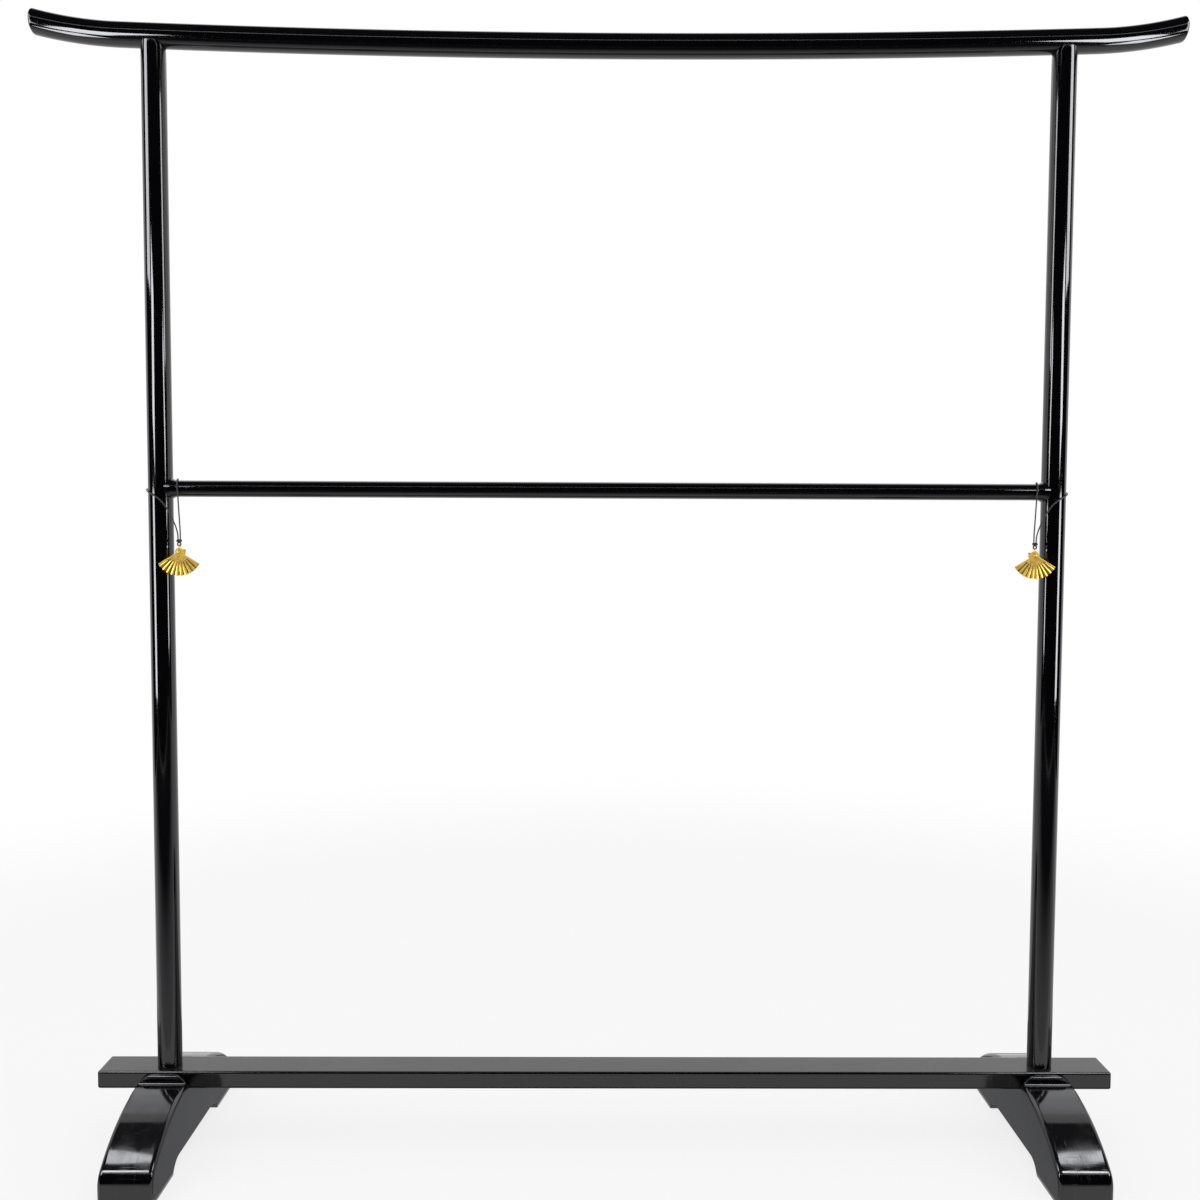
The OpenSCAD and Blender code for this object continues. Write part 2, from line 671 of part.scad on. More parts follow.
mirrored() back_jaw();  // right_back_jaw
mirrored() pivot_pin();  // right_pivot_pin
mirrored() jaw_spring();  // right_jaw_spring
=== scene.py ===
"""Looks of a lacquered garment stand: arched feet, base board, posts, lift-off rail and fan clips on cords."""
import logging
import math
from dataclasses import dataclass, field, replace
from enum import Enum
from typing import Any

import bmesh
import bpy
import numpy as np
from mathutils import Matrix, Vector
from mathutils.geometry import delaunay_2d_cdt


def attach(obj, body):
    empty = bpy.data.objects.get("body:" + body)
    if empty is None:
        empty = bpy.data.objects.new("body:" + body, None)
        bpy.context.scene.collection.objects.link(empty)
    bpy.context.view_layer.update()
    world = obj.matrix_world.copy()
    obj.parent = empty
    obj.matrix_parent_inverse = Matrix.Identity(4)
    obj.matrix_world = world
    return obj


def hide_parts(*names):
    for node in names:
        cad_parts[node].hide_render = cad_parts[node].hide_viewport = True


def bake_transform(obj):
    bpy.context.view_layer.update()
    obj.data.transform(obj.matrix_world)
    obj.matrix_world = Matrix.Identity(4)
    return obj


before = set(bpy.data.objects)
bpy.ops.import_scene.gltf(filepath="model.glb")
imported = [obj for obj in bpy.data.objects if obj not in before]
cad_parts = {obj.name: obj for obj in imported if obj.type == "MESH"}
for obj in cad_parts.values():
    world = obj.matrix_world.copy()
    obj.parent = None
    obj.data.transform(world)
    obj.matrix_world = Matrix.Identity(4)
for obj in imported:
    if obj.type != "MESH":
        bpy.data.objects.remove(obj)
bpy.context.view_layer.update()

Array = np.ndarray
Triple = tuple[float, float, float]
Socket = bpy.types.NodeSocket
MM: float = 0.001
SHARP_ANGLE: float = 35.0
MIRROR_X: Array = np.array([-1, 1, 1])
log: logging.Logger = logging.getLogger("stand")


class Side(Enum):
    """The two ends of the stand, with the sign of x there."""

    LEFT = -1
    RIGHT = 1

    @property
    def label(self) -> str:
        """The word that node names on this side start with."""
        return self.name.lower()


class Family(Enum):
    """The two families of finishes. A card of the studio can be kept to the pieces of one of them."""

    LACQUER = "lacquer"
    METAL = "metal"


# ---------------------------------------------------------------- surfaces
@dataclass
class Skin:
    """One surface: its points, its faces of four and of three corners, and a UV for every corner."""

    points: Array
    quads: Array
    quad_uv: Array
    tris: Array = field(default_factory=lambda: np.zeros((0, 3), int))
    tri_uv: Array = field(default_factory=lambda: np.zeros((0, 3, 2)))

    def volume(self) -> float:
        """Six times the enclosed volume, as the sum of the corner products of all triangles.

        Returns:
            The measure, which is negative where the faces point inwards.
        """
        p = self.points - self.points.mean(axis=0)
        t = np.concatenate([self.quads[:, [0, 1, 2]], self.quads[:, [0, 2, 3]], self.tris])
        return float(np.einsum("ij,ij->", p[t[:, 0]], np.cross(p[t[:, 1]], p[t[:, 2]])))

    def outward(self) -> "Skin":
        """The same closed surface with its faces turned to point outwards.

        Returns:
            The surface itself, or one with every face the other way round.
        """
        if self.volume() >= 0:
            return self
        return Skin(self.points, self.quads[:, ::-1], self.quad_uv[:, ::-1], self.tris[:, ::-1], self.tri_uv[:, ::-1])

    def moved(self, at: Triple, mirror: bool = False) -> "Skin":
        """A copy of the surface put at another place.

        Args:
            at: the place of its origin, in metres.
            mirror: whether x is mirrored first.

        Returns:
            The new surface.
        """
        flip = np.array([-1.0 if mirror else 1.0, 1.0, 1.0])
        return replace(self, points=self.points * flip + np.array(at))


def full_turn(count: int) -> Array:
    """Evenly spaced angles all round a circle, from 0."""
    return np.linspace(0, 2 * np.pi, count, endpoint=False)


def both_halves(right: Array) -> Array:
    """Rings from end to end of a rail: those of its right half mirrored, then those of the right half from x = 0."""
    return np.concatenate([right[:0:-1] * MIRROR_X, right])


def lattice(rows: int, cols: int, wrap_rows: bool, wrap_cols: bool) -> tuple[Array, Array]:
    """Faces between the points of a grid: each joins a point, the next in its row, and the same two of the next row.

    Args:
        rows: number of rows of points.
        cols: number of points in a row.
        wrap_rows: whether the last row joins the first.
        wrap_cols: whether the last point of a row joins its first.

    Returns:
        The corner indices of the faces, and their corners as (row, column) steps.
    """
    i, j = np.meshgrid(np.arange(rows - (not wrap_rows)), np.arange(cols - (not wrap_cols)), indexing="ij")
    steps = np.stack([np.stack([i, j], -1), np.stack([i, j + 1], -1), np.stack([i + 1, j + 1], -1),
                      np.stack([i + 1, j], -1)], axis=-2).reshape(-1, 4, 2)
    return (steps[..., 0] % rows) * cols + steps[..., 1] % cols, steps


def ring_skin(rings: Array, along: Array | None = None, wrap: bool = False) -> Skin:
    """Closed surface through rings of points. Its ends close on a middle point, or on each other.

    Args:
        rings: points as (ring, place in the ring, xyz).
        along: the second UV of each ring; the ring's number if left out.
        wrap: whether the last ring joins the first.

    Returns:
        The surface, facing outwards.
    """
    rows, cols = rings.shape[:2]
    quads, steps = lattice(rows, cols, wrap, True)
    v = np.arange(rows + 1.0) if along is None else np.append(along, 2 * along[-1] - along[-2])
    quad_uv = np.stack([steps[..., 1] / cols, v[steps[..., 0]]], -1)
    points = rings.reshape(-1, 3)
    if wrap:
        return Skin(points, quads, quad_uv).outward()
    n = rows * cols
    j = np.arange(cols)
    k = (j + 1) % cols
    start = np.stack([np.full(cols, n), k, j], -1)
    end = np.stack([np.full(cols, n + 1), n - cols + j, n - cols + k], -1)
    points = np.concatenate([points, rings[0].mean(axis=0)[None], rings[-1].mean(axis=0)[None]])
    tri_uv = np.stack([np.stack([t / cols, np.full(t.shape, v[e])], -1)
                       for t, e in ((np.stack([j, k, j], -1), 0), (np.stack([j, j, k], -1), rows - 1))])
    return Skin(points, quads, quad_uv, np.concatenate([start, end]), tri_uv.reshape(-1, 3, 2)).outward()


def lathe(profile: Array, sides: int = 96) -> Skin:
    """Turned piece: every profile point (radius, z) goes round the z axis in a circle.

    Args:
        profile: points from one end to the other, as (radius, z).
        sides: number of points round the axis.

    Returns:
        The closed surface.
    """
    turn = full_turn(sides)
    r, z = profile[:, :1], profile[:, 1:]
    rings = np.stack([r * np.cos(turn), r * np.sin(turn), z + 0 * turn], -1)
    return ring_skin(rings, profile[:, 1])


def arc(centre: tuple[float, float], radius: float, start: float, end: float, count: int) -> Array:
    """Points on a circle: the centre plus the radius times (sine, cosine) of the tilt.

    Args:
        centre: the circle's centre.
        radius: its radius.
        start: first tilt from the second axis towards the first, in degrees.
        end: last tilt, in degrees.
        count: number of points.

    Returns:
        The points, as (first, second).
    """
    t = np.radians(np.linspace(start, end, count))
    return np.array(centre) + radius * np.stack([np.sin(t), np.cos(t)], -1)


def carried_frames(path: Array) -> tuple[Array, Array, Array]:
    """Heading, side and third direction at each point of a path, the side turning as little as it can.

    Args:
        path: points as (point, xyz).

    Returns:
        Three arrays of unit vectors.
    """
    off_path = np.array([0.31, 0.59, 0.74])  # a direction that no path of the stand starts along
    ahead = np.gradient(path, axis=0)
    ahead /= np.linalg.norm(ahead, axis=1, keepdims=True)
    side = np.zeros_like(path)
    side[0] = np.cross(ahead[0], off_path)
    for i in range(len(path)):
        last = side[max(i - 1, 0)]
        flat = last - (last @ ahead[i]) * ahead[i]
        side[i] = flat / np.linalg.norm(flat)
    return ahead, side, np.cross(ahead, side)


def smooth_route(points: Array, steps: int, wrap: bool = False) -> Array:
    """Smooth curve through points: each stretch is the cubic that heads for its neighbours' chords at both ends.

    Args:
        points: the points to pass through.
        steps: number of steps in each stretch.
        wrap: whether the curve closes on itself.

    Returns:
        The curve's points.
    """
    n = len(points)
    near = np.arange(n if wrap else n - 1)[None] + np.array([[-1], [0], [1], [2]])
    a, b, c, d = points[near % n if wrap else np.clip(near, 0, n - 1)][:, :, None]
    t = (np.arange(steps) / steps)[None, :, None]
    curve = 0.5 * (2 * b + (c - a) * t + (2 * a - 5 * b + 4 * c - d) * t ** 2 + (3 * b - a - 3 * c + d) * t ** 3)
    curve = curve.reshape(-1, 3)
    return curve if wrap else np.concatenate([curve, points[-1:]])


def lengths_along(path: Array) -> Array:
    """Distance from a path's start to each of its points."""
    return np.concatenate([[0.0], np.cumsum(np.linalg.norm(np.diff(path, axis=0), axis=1))])


def tube_skin(path: Array, radius: float | Array, sides: int = 16, wrap: bool = False) -> Skin:
    """Tube along a path: at each point a circle of the radius in the plane across the path.

    Args:
        path: the centreline.
        radius: the radius, or the radius at each point and side.
        sides: number of points round the tube.
        wrap: whether the path closes on itself.

    Returns:
        The closed surface.
    """
    _, side, third = carried_frames(path)
    turn = full_turn(sides)[None, :, None]
    r = np.broadcast_to(np.asarray(radius, float), (len(path), sides))[..., None]
    rings = path[:, None] + r * (np.cos(turn) * side[:, None] + np.sin(turn) * third[:, None])
    return ring_skin(rings, lengths_along(path), wrap)


def box_skin(width: float, depth: float, height: float, edge: float, steps: int = 5) -> Skin:
    """Bar along x with all its edges rounded: a rounded rectangle carried along, and drawn in at both ends.

    A narrow strip of each flat face beside a rounded edge keeps the rest of that face flat in its shading.

    Args:
        width: size along x.
        depth: size along y.
        height: size along z.
        edge: radius of the edges.
        steps: points in each rounded edge.

    Returns:
        The closed surface, its middle at the origin.
    """
    strip, least = 0.2, 0.03  # the strip's width and the smallest end section, as shares of the edge's radius
    inner_shares = (0.5, 0.985)  # sizes of the two rings that divide an end face, as shares of it
    corners = []
    for a in (0, 90, 180, 270):
        bend = arc((0, 0), 1, a, a + 90, steps)
        corners.append(np.concatenate([bend[:1] - strip * bend[-1:], bend, bend[-1:] - strip * bend[:1]]))
    middles = np.array([[1, 1], [1, -1], [-1, -1], [-1, 1]]) * np.array([depth / 2 - edge, height / 2 - edge])
    turn = np.radians(np.linspace(0, 90, steps))
    drawn = np.append(edge * np.maximum(np.cos(turn[::-1]), least), edge)
    reach = np.append(width / 2 - edge + edge * np.sin(turn[::-1]), width / 2 - (1 + strip) * edge)
    x, draw = np.concatenate([-reach, reach[::-1]]), np.concatenate([drawn, drawn[::-1]])
    outline = np.concatenate([m + draw[:, None, None] * c[None] for m, c in zip(middles, corners)], axis=1)
    rings = np.concatenate([np.broadcast_to(x[:, None, None], outline.shape[:2] + (1,)), outline], axis=-1)
    inner = [rings[[0, -1]] * np.array([1, s, s]) for s in inner_shares]
    return ring_skin(np.concatenate([inner[0][:1], inner[1][:1], rings, inner[1][1:], inner[0][1:]]))


def new_mesh(name: str, skins: list[Skin], sharp: float = SHARP_ANGLE,
             valley: Array | None = None) -> bpy.types.Mesh:
    """One mesh made of several surfaces, shaded smooth apart from its sharp edges.

    Args:
        name: the mesh's name.
        skins: its surfaces.
        sharp: angle in degrees past which an edge shows as sharp.
        valley: how deep in a hollow each of the first points lies, from 0 to 1, for the painted shade and tarnishing in
            the folds of the gilding.

    Returns:
        The mesh.
    """
    shift = np.cumsum([0] + [len(s.points) for s in skins])
    quads = np.concatenate([s.quads + n for s, n in zip(skins, shift)])
    tris = np.concatenate([s.tris + n for s, n in zip(skins, shift)])
    corners = np.concatenate([quads.ravel(), tris.ravel()])
    starts = np.concatenate([np.arange(len(quads)) * 4, 4 * len(quads) + np.arange(len(tris)) * 3])
    uvs = np.concatenate([np.concatenate([s.quad_uv for s in skins]).reshape(-1, 2),
                          np.concatenate([s.tri_uv for s in skins]).reshape(-1, 2)])
    mesh = bpy.data.meshes.new(name)
    mesh.vertices.add(shift[-1])
    mesh.vertices.foreach_set("co", np.concatenate([s.points for s in skins]).astype(np.float32).ravel())
    mesh.loops.add(len(corners))
    mesh.loops.foreach_set("vertex_index", corners.astype(np.int32))
    mesh.polygons.add(len(starts))
    mesh.polygons.foreach_set("loop_start", starts.astype(np.int32))
    mesh.uv_layers.new(name="UVMap").data.foreach_set("uv", uvs.astype(np.float32).ravel())
    mesh.update(calc_edges=True)
    mesh.validate()
    mesh.polygons.foreach_set("use_smooth", np.ones(len(mesh.polygons), bool))
    mesh.set_sharp_from_angle(angle=math.radians(sharp))
    if valley is not None:
        depth = np.zeros(len(mesh.vertices), np.float32)
        depth[:len(valley)] = valley
        mesh.attributes.new("valley", "FLOAT", "POINT").data.foreach_set("value", depth)
    return mesh


def linked(name: str, data: bpy.types.ID) -> bpy.types.Object:
    """A new object with its mesh, camera or light, put in the scene.

    Args:
        name: its name.
        data: its mesh, camera or light.

    Returns:
        The object.
    """
    made = bpy.data.objects.new(name, data)
    bpy.context.scene.collection.objects.link(made)
    return made


def bored(mesh: bpy.types.Mesh, cutters: list[Skin]) -> bpy.types.Mesh:
    """The mesh with holes cut into it.

    Args:
        mesh: the mesh to cut.
        cutters: closed surfaces that fill the holes.

    Returns:
        A new mesh; the old one is removed.
    """
    block, tool = linked("block", mesh), linked("tool", new_mesh("tool", cutters))
    cut = block.modifiers.new("cut", "BOOLEAN")
    cut.operation, cut.solver, cut.object = "DIFFERENCE", "EXACT", tool
    bpy.context.view_layer.update()
    made = bpy.data.meshes.new_from_object(block.evaluated_get(bpy.context.evaluated_depsgraph_get()))
    old_tool = tool.data
    for o in (block, tool):
        bpy.data.objects.remove(o)
    for m in (mesh, old_tool):
        bpy.data.meshes.remove(m)
    made.set_sharp_from_angle(angle=math.radians(SHARP_ANGLE))
    return made


# ---------------------------------------------------------------- finishes
class Shader:
    """A node material under construction, with short calls for the nodes that the finishes share."""

    def __init__(self, name: str) -> None:
        """Starts a material with its main shader.

        Args:
            name: the material's name.
        """
        self.material = bpy.data.materials.new(name)
        self.material.use_nodes = True
        self.tree = self.material.node_tree
        self.main = self.tree.nodes["Principled BSDF"]
        self.place = self.add("ShaderNodeTexCoord")

    def add(self, kind: str, links: dict[str | int, Socket] | None = None, values: dict[str, Any] | None = None,
            **options: Any) -> bpy.types.ShaderNode:
        """Adds one node.

        Args:
            kind: its type.
            links: sockets that feed its inputs, by input name or number.
            values: numbers and colours for its inputs, by input name.
            options: settings of the node itself.

        Returns:
            The node.
        """
        node = self.tree.nodes.new(kind)
        for key, value in options.items():
            setattr(node, key, value)
        for key, value in (values or {}).items():
            node.inputs[key].default_value = value
        for key, socket in (links or {}).items():
            self.tree.links.new(socket, node.inputs[key])
        return node

    def spot(self, scale: Triple = (1, 1, 1), turn: Triple = (0, 0, 0),
             uv: bool = False) -> Socket:
        """The object's coordinates, or its UV, stretched and turned for a pattern.

        Args:
            scale: how much finer the pattern gets along each axis.
            turn: turns about x, y and z, in degrees.
            uv: whether it reads the UV.

        Returns:
            The coordinates' socket.
        """
        source = self.place.outputs["UV" if uv else "Object"]
        return self.add("ShaderNodeMapping", {"Vector": source}, {
            "Scale": scale, "Rotation": tuple(math.radians(a) for a in turn)}).outputs["Vector"]

    def noise(self, scale: float, detail: float = 2.0, at: Socket | None = None, rough: float = 0.5) -> Socket:
        """Cloudy noise between 0 and 1."""
        return self.add("ShaderNodeTexNoise", {"Vector": at or self.place.outputs["Object"]},
                        {"Scale": scale, "Detail": detail, "Roughness": rough}).outputs["Fac"]

    def ramp(self, source: Socket, low: float, high: float, start: float = 0.0, end: float = 1.0) -> Socket:
        """A number that goes from start to end, smoothly, as the source goes from low to high.

        Args:
            source: the socket that it follows.
            low: the source's value at the start.
            high: the source's value at the end.
            start: the number's first value.
            end: its last value.

        Returns:
            The number's socket.
        """
        return self.add("ShaderNodeMapRange", {"Value": source}, {
            "From Min": low, "From Max": high, "To Min": start, "To Max": end},
            interpolation_type="SMOOTHSTEP").outputs["Result"]

    def math(self, operation: str, a: Socket | float, b: Socket | float | None = None,
             clamp: bool = False) -> Socket:
        """A sum, product or other operation on sockets or numbers.

        Args:
            operation: the math node's name for it.
            a: the first socket or number.
            b: the second, where the operation has one.
            clamp: whether the result is kept between 0 and 1.

        Returns:
            The result's socket.
        """
        node = self.add("ShaderNodeMath", operation=operation, use_clamp=clamp)
        for i, value in enumerate((a, b)):
            if isinstance(value, (int, float)):
                node.inputs[i].default_value = value
            elif value is not None:
                self.tree.links.new(value, node.inputs[i])
        return node.outputs[0]

    def times(self, a: Socket | float, b: Socket | float) -> Socket:
        """The product of two sockets or numbers."""
        return self.math("MULTIPLY", a, b)

    def plus(self, a: Socket | float, b: Socket | float, clamp: bool = False) -> Socket:
        """The sum of two sockets or numbers, kept between 0 and 1 if asked."""
        return self.math("ADD", a, b, clamp)

    def mix(self, share: Socket, a: Socket | Triple, b: Triple) -> Socket:
        """A colour that goes from one to another as the share goes from 0 to 1.

        Args:
            share: the share's socket.
            a: the first colour, or its socket.
            b: the last colour.

        Returns:
            The colour's socket.
        """
        node = self.add("ShaderNodeMix", data_type="RGBA")
        self.tree.links.new(share, node.inputs["Factor"])
        if isinstance(a, tuple):
            node.inputs["A"].default_value = (*a, 1)
        else:
            self.tree.links.new(a, node.inputs["A"])
        node.inputs["B"].default_value = (*b, 1)
        return node.outputs["Result"]

    def bump(self, height: Socket, distance: float, strength: float = 1.0, under: Socket | None = None) -> Socket:
        """A normal pushed by a height in metres, over another such normal."""
        links = {"Height": height} | ({"Normal": under} if under is not None else {})
        return self.add("ShaderNodeBump", links, {"Distance": distance, "Strength": strength}).outputs["Normal"]

    def finish(self, links: dict[str, Socket], **values: Any) -> bpy.types.Material:
        """Feeds the main shader and sets its plain numbers, whose names are the sockets' with _ for spaces.

        Args:
            links: sockets by the main shader's input names.
            values: numbers and colours.

        Returns:
            The finished material.
        """
        for key, socket in links.items():
            self.tree.links.new(socket, self.main.inputs[key])
        for key, value in values.items():
            self.main.inputs[key.replace("_", " ")].default_value = value
        return self.material


@dataclass(frozen=True)
class Finish:
    """A finish: its material's name, and the record's slot that it belongs to, which is not used."""

    name: str
    slot: str

    @property
    def family(self) -> Family:
        """The family whose cards it shows: lacquer, or metal for all the rest."""
        return Family.LACQUER if isinstance(self, Lacquer) else Family.METAL

    def build(self) -> bpy.types.Material:
        """Makes the node material."""
        raise NotImplementedError

    def material(self) -> bpy.types.Material:
        """The material, made on first use."""
        return bpy.data.materials.get(self.name) or self.build()


@dataclass(frozen=True)
class Lacquer(Finish):
    """Black lacquer on wood, rubbed glossy: a clear top coat, faint waves, dust on top and hairline scratches.

    Attributes:
        wear: how strongly scratches and smudges show.
        dust: how much grey dust lies on faces that look up.
        grain: direction of the wood under the lacquer, as stretches of the noise along x, y and z.
        black: its deepest colour.
        soft_black: its colour in the cloudy patches.
        grey: colour of dust and scratches.
        rough: roughness of clean lacquer.
        hair_lines: three sets of hairline scratches, each as a stretch and a turn (degrees) of the noise.
    """

    wear: float = 0.5
    dust: float = 0.03
    grain: Triple = (1.0, 1.0, 1.0)
    black: Triple = (0.0012, 0.0012, 0.0017)
    soft_black: Triple = (0.0026, 0.0024, 0.0032)
    grey: Triple = (0.11, 0.105, 0.115)
    rough: float = 0.07
    hair_lines: tuple[tuple[Triple, Triple], ...] = (
        ((1500, 26, 26), (17, 31, 8)), ((22, 1300, 40), (-12, 24, 61)), ((1100, 60, 18), (9, -38, -27)))

    def build(self) -> bpy.types.Material:
        """Makes the node material.

        Returns:
            The material.
        """
        s = Shader(self.name)
        # Soft patches as wide as a hand, wiped places, and the wood's fibres under the lacquer
        cloud = s.noise(7.0, 4.0)
        smudge = s.ramp(s.noise(23.0, 5.0, rough=0.62), 0.42, 0.72)
        fibre = s.noise(90.0, 3.0, s.spot(self.grain))
        # Hairline scratches, kept to the patches where they gather
        hairs = [s.ramp(s.noise(1.0, 1.0, s.spot(stretch, turn)), 0.70, 0.76) for stretch, turn in self.hair_lines]
        patch = s.ramp(s.noise(11.0, 2.0, s.spot(turn=(40, 10, 0))), 0.45, 0.62)
        scratches = s.times(s.math("MAXIMUM", hairs[0], s.math("MAXIMUM", hairs[1], hairs[2])), patch)
        # Dust: a thin film with specks, on faces that look up
        facing = s.add("ShaderNodeSeparateXYZ", {"Vector": s.place.outputs["Normal"]}).outputs["Z"]
        up = s.ramp(facing, 0.55, 0.98)
        specks = s.ramp(s.noise(1400.0, 1.0), 0.70, 0.80)
        film = s.times(up, s.plus(s.times(specks, 0.55), s.ramp(cloud, 0.3, 0.8, 0.25, 0.7)))
        # Dust and scratches lighten the black, and roughen it together with the smudges
        lighter = s.plus(s.times(film, self.dust * 12), s.times(scratches, 0.35 * self.wear), clamp=True)
        tint = s.mix(lighter, s.mix(cloud, self.black, self.soft_black), self.grey)
        rough = s.plus(s.times(smudge, 0.16 * self.wear), s.plus(s.times(scratches, 0.25 * self.wear), self.rough))
        rough = s.plus(rough, s.times(film, 2.5 * self.dust))
        # Slow waves left by the polishing, then fibres and scratches, each as its height in metres
        wave = s.bump(s.noise(13.0, 0.0), 0.00010)
        wave = s.bump(fibre, 0.000002, under=wave)
        wave = s.bump(scratches, 0.000012 * self.wear, under=wave)
        return s.finish({"Base Color": tint, "Roughness": rough, "Normal": wave, "Coat Normal": wave},
                        IOR=1.5, Specular_IOR_Level=0.5, Coat_Weight=0.2, Coat_Roughness=0.03, Coat_IOR=1.5)


@dataclass(frozen=True)
class Gilt(Finish):
    """Bright gold plate on stamped sheet, darker, browner and duller down in its folds: painted shade there, with some
    tarnishing.

    Attributes:
        bright: colour on open faces.
        deep: colour in cloudy patches.
        brown: colour at the bottom of the folds, which is painted shade with some tarnishing.
        rough: roughness of clean plate.
    """

    bright: Triple = (0.98, 0.69, 0.15)
    deep: Triple = (0.88, 0.55, 0.09)
    brown: Triple = (0.15, 0.062, 0.007)
    rough: float = 0.22

    def build(self) -> bpy.types.Material:
        """Makes the node material.

        Returns:
            The material.
        """
        s = Shader(self.name)
        # Cloudy patches of a few millimetres, brushed strokes, and the tiny dents of the stamping
        cloud = s.ramp(s.noise(210.0, 4.0), 0.35, 0.72)
        strokes = s.noise(1.0, 2.0, s.spot((2600, 900, 240), (0, 21, 0)))
        hammer = s.noise(620.0, 2.0)
        rough = s.plus(s.times(cloud, 0.10), s.times(strokes, 0.14))
        stroke_mean = 0.08  # what the strokes add to the roughness on average
        normal = s.bump(strokes, 0.000012, under=s.bump(hammer, 0.00002))
        # Painted shade in the folds, with some tarnishing: towards the bottom of each fold the gold darkens, browner
        # and duller
        valley = s.add("ShaderNodeAttribute", attribute_name="valley").outputs["Fac"]
        shade_and_tarnish = s.ramp(s.plus(valley, s.times(cloud, 0.12)), 0.30, 0.95)
        tone = s.mix(shade_and_tarnish, s.mix(cloud, self.bright, self.deep), self.brown)
        rough = s.plus(s.plus(rough, s.times(shade_and_tarnish, 0.25)), self.rough - stroke_mean)
        return s.finish({"Base Color": tone, "Roughness": rough, "Normal": normal}, Metallic=1.0)


@dataclass(frozen=True)
class PlainMetal(Finish):
    """Turned or drawn metal: fine rings or lines across it, tarnished in cloudy patches.

    Attributes:
        bright: colour where it is clean.
        dull: colour where it is tarnished.
        stretch: how much finer the lines are along x, y and z.
        rough: roughness where it is clean.
    """

    bright: Triple = (0.62, 0.63, 0.65)
    dull: Triple = (0.40, 0.40, 0.42)
    stretch: Triple = (60.0, 60.0, 2400.0)
    rough: float = 0.24

    def build(self) -> bpy.types.Material:
        """Makes the node material.

        Returns:
            The material.
        """
        s = Shader(self.name)
        # Tarnish in patches of a few millimetres, and the tool's lines
        cloud = s.ramp(s.noise(160.0, 4.0), 0.4, 0.75)
        lines = s.noise(1.0, 2.0, s.spot(self.stretch))
        tone = s.mix(cloud, self.bright, self.dull)
        line_mean = 0.08  # what the lines add to the roughness on average
        rough = s.plus(s.plus(s.times(cloud, 0.16), s.times(lines, 0.16)), self.rough - line_mean)
        return s.finish({"Base Color": tone, "Roughness": rough, "Normal": s.bump(lines, 0.000015)}, Metallic=1.0)


@dataclass(frozen=True)
class Twist(Finish):
    """Dark twisted cord: strands that wind round it, fine hairs and a soft sheen, with painted shade between the
    strands and a painted sheen on their tops.

    Attributes:
        lay: length of one turn of a strand along the cord, in metres.
        strands: number of strands.
        dark: painted shade between the strands.
        light: painted sheen on top of them.
    """

    lay: float = 0.0075
    strands: int = 3
    dark: Triple = (0.010, 0.008, 0.010)
    light: Triple = (0.060, 0.050, 0.060)

    def build(self) -> bpy.types.Material:
        """Makes the node material.

        Returns:
            The material.
        """
        s = Shader(self.name)
        parts = s.add("ShaderNodeSeparateXYZ", {"Vector": s.place.outputs["UV"]})
        # The UV's first number goes once round the cord, and its second is the length along it in metres
        turns = s.plus(s.times(parts.outputs["X"], float(self.strands)),
                       s.times(parts.outputs["Y"], self.strands / self.lay))
        strand = s.math("ABSOLUTE", s.math("SINE", s.times(turns, math.pi)))
        fibre = s.noise(1.0, 2.0, s.spot((70, 4200, 1), (0, 0, 24), uv=True))
        hair = s.noise(2600.0, 2.0)
        # Painted shade between the strands and a painted sheen on their tops, over the ridges that the cord's own shape
        # has
        painted_sheen_share = s.times(strand, s.ramp(fibre, 0.3, 0.8, 0.35, 1.0))
        normal = s.bump(hair, 0.00006, under=s.bump(fibre, 0.00005, under=s.bump(strand, 0.00022)))
        return s.finish({"Base Color": s.mix(painted_sheen_share, self.dark, self.light), "Normal": normal},
                        Roughness=0.72, Sheen_Weight=0.35, Sheen_Roughness=0.45)


POST_LACQUER = Lacquer("post_lacquer", "lacquered_wood", wear=0.10, dust=0.012, grain=(1.0, 1.0, 0.03))
RAIL_LACQUER = Lacquer("rail_lacquer", "lacquered_wood", wear=0.10, dust=0.008, grain=(0.03, 1.0, 1.0))
BOARD_LACQUER = Lacquer("board_lacquer", "lacquered_wood", wear=0.6, dust=0.028, grain=(0.03, 1.0, 1.0))
FOOT_LACQUER = Lacquer("foot_lacquer", "lacquered_wood", wear=1.0, dust=0.008, grain=(1.0, 0.05, 1.0))
GOLD_PLATE = Gilt("gold_plate", "gilt_metal")
ZINC = PlainMetal("zinc_plated_steel", "steel")
BRASS = PlainMetal("turned_brass", "brass", (0.78, 0.60, 0.28), (0.55, 0.40, 0.17))
CORD = Twist("twisted_cord", "cord")
KNOT_CORD = Twist("knotted_cord", "cord", lay=0.006)


def pieces_in(family: Family) -> bpy.types.Collection:
    """The collection of all pieces whose finishes are of a family, made on first use."""
    name = f"pieces_in_{family.value}"
    return bpy.data.collections.get(name) or bpy.data.collections.new(name)


def place_piece(name: str, mesh: bpy.types.Mesh, body: str, finish: Finish, *nodes: str,
                bend: tuple[str, Triple, Triple] | None = None) -> bpy.types.Object:
    """Shows a mesh as a piece of the stand.

    Args:
        name: the piece's name.
        mesh: its mesh, in the stand's own frame.
        body: the body that it moves with.
        finish: its finish.
        nodes: the solids that it stands for.
        bend: for a piece that turns with two bodies, the other body and the points that it turns between; only whether
            it is given is read, and such a piece is then left in the stand's frame, on no body.

    Returns:
        The piece's object.
    """
    mesh.materials.clear()
    mesh.materials.append(finish.material())
    piece = linked(name, mesh)
    pieces_in(finish.family).objects.link(piece)
    if bend:
        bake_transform(piece)
    else:
        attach(piece, body)
    if nodes:
        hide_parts(*nodes)
    log.info("%s: %d faces on %s", name, len(mesh.polygons), body)
    return piece


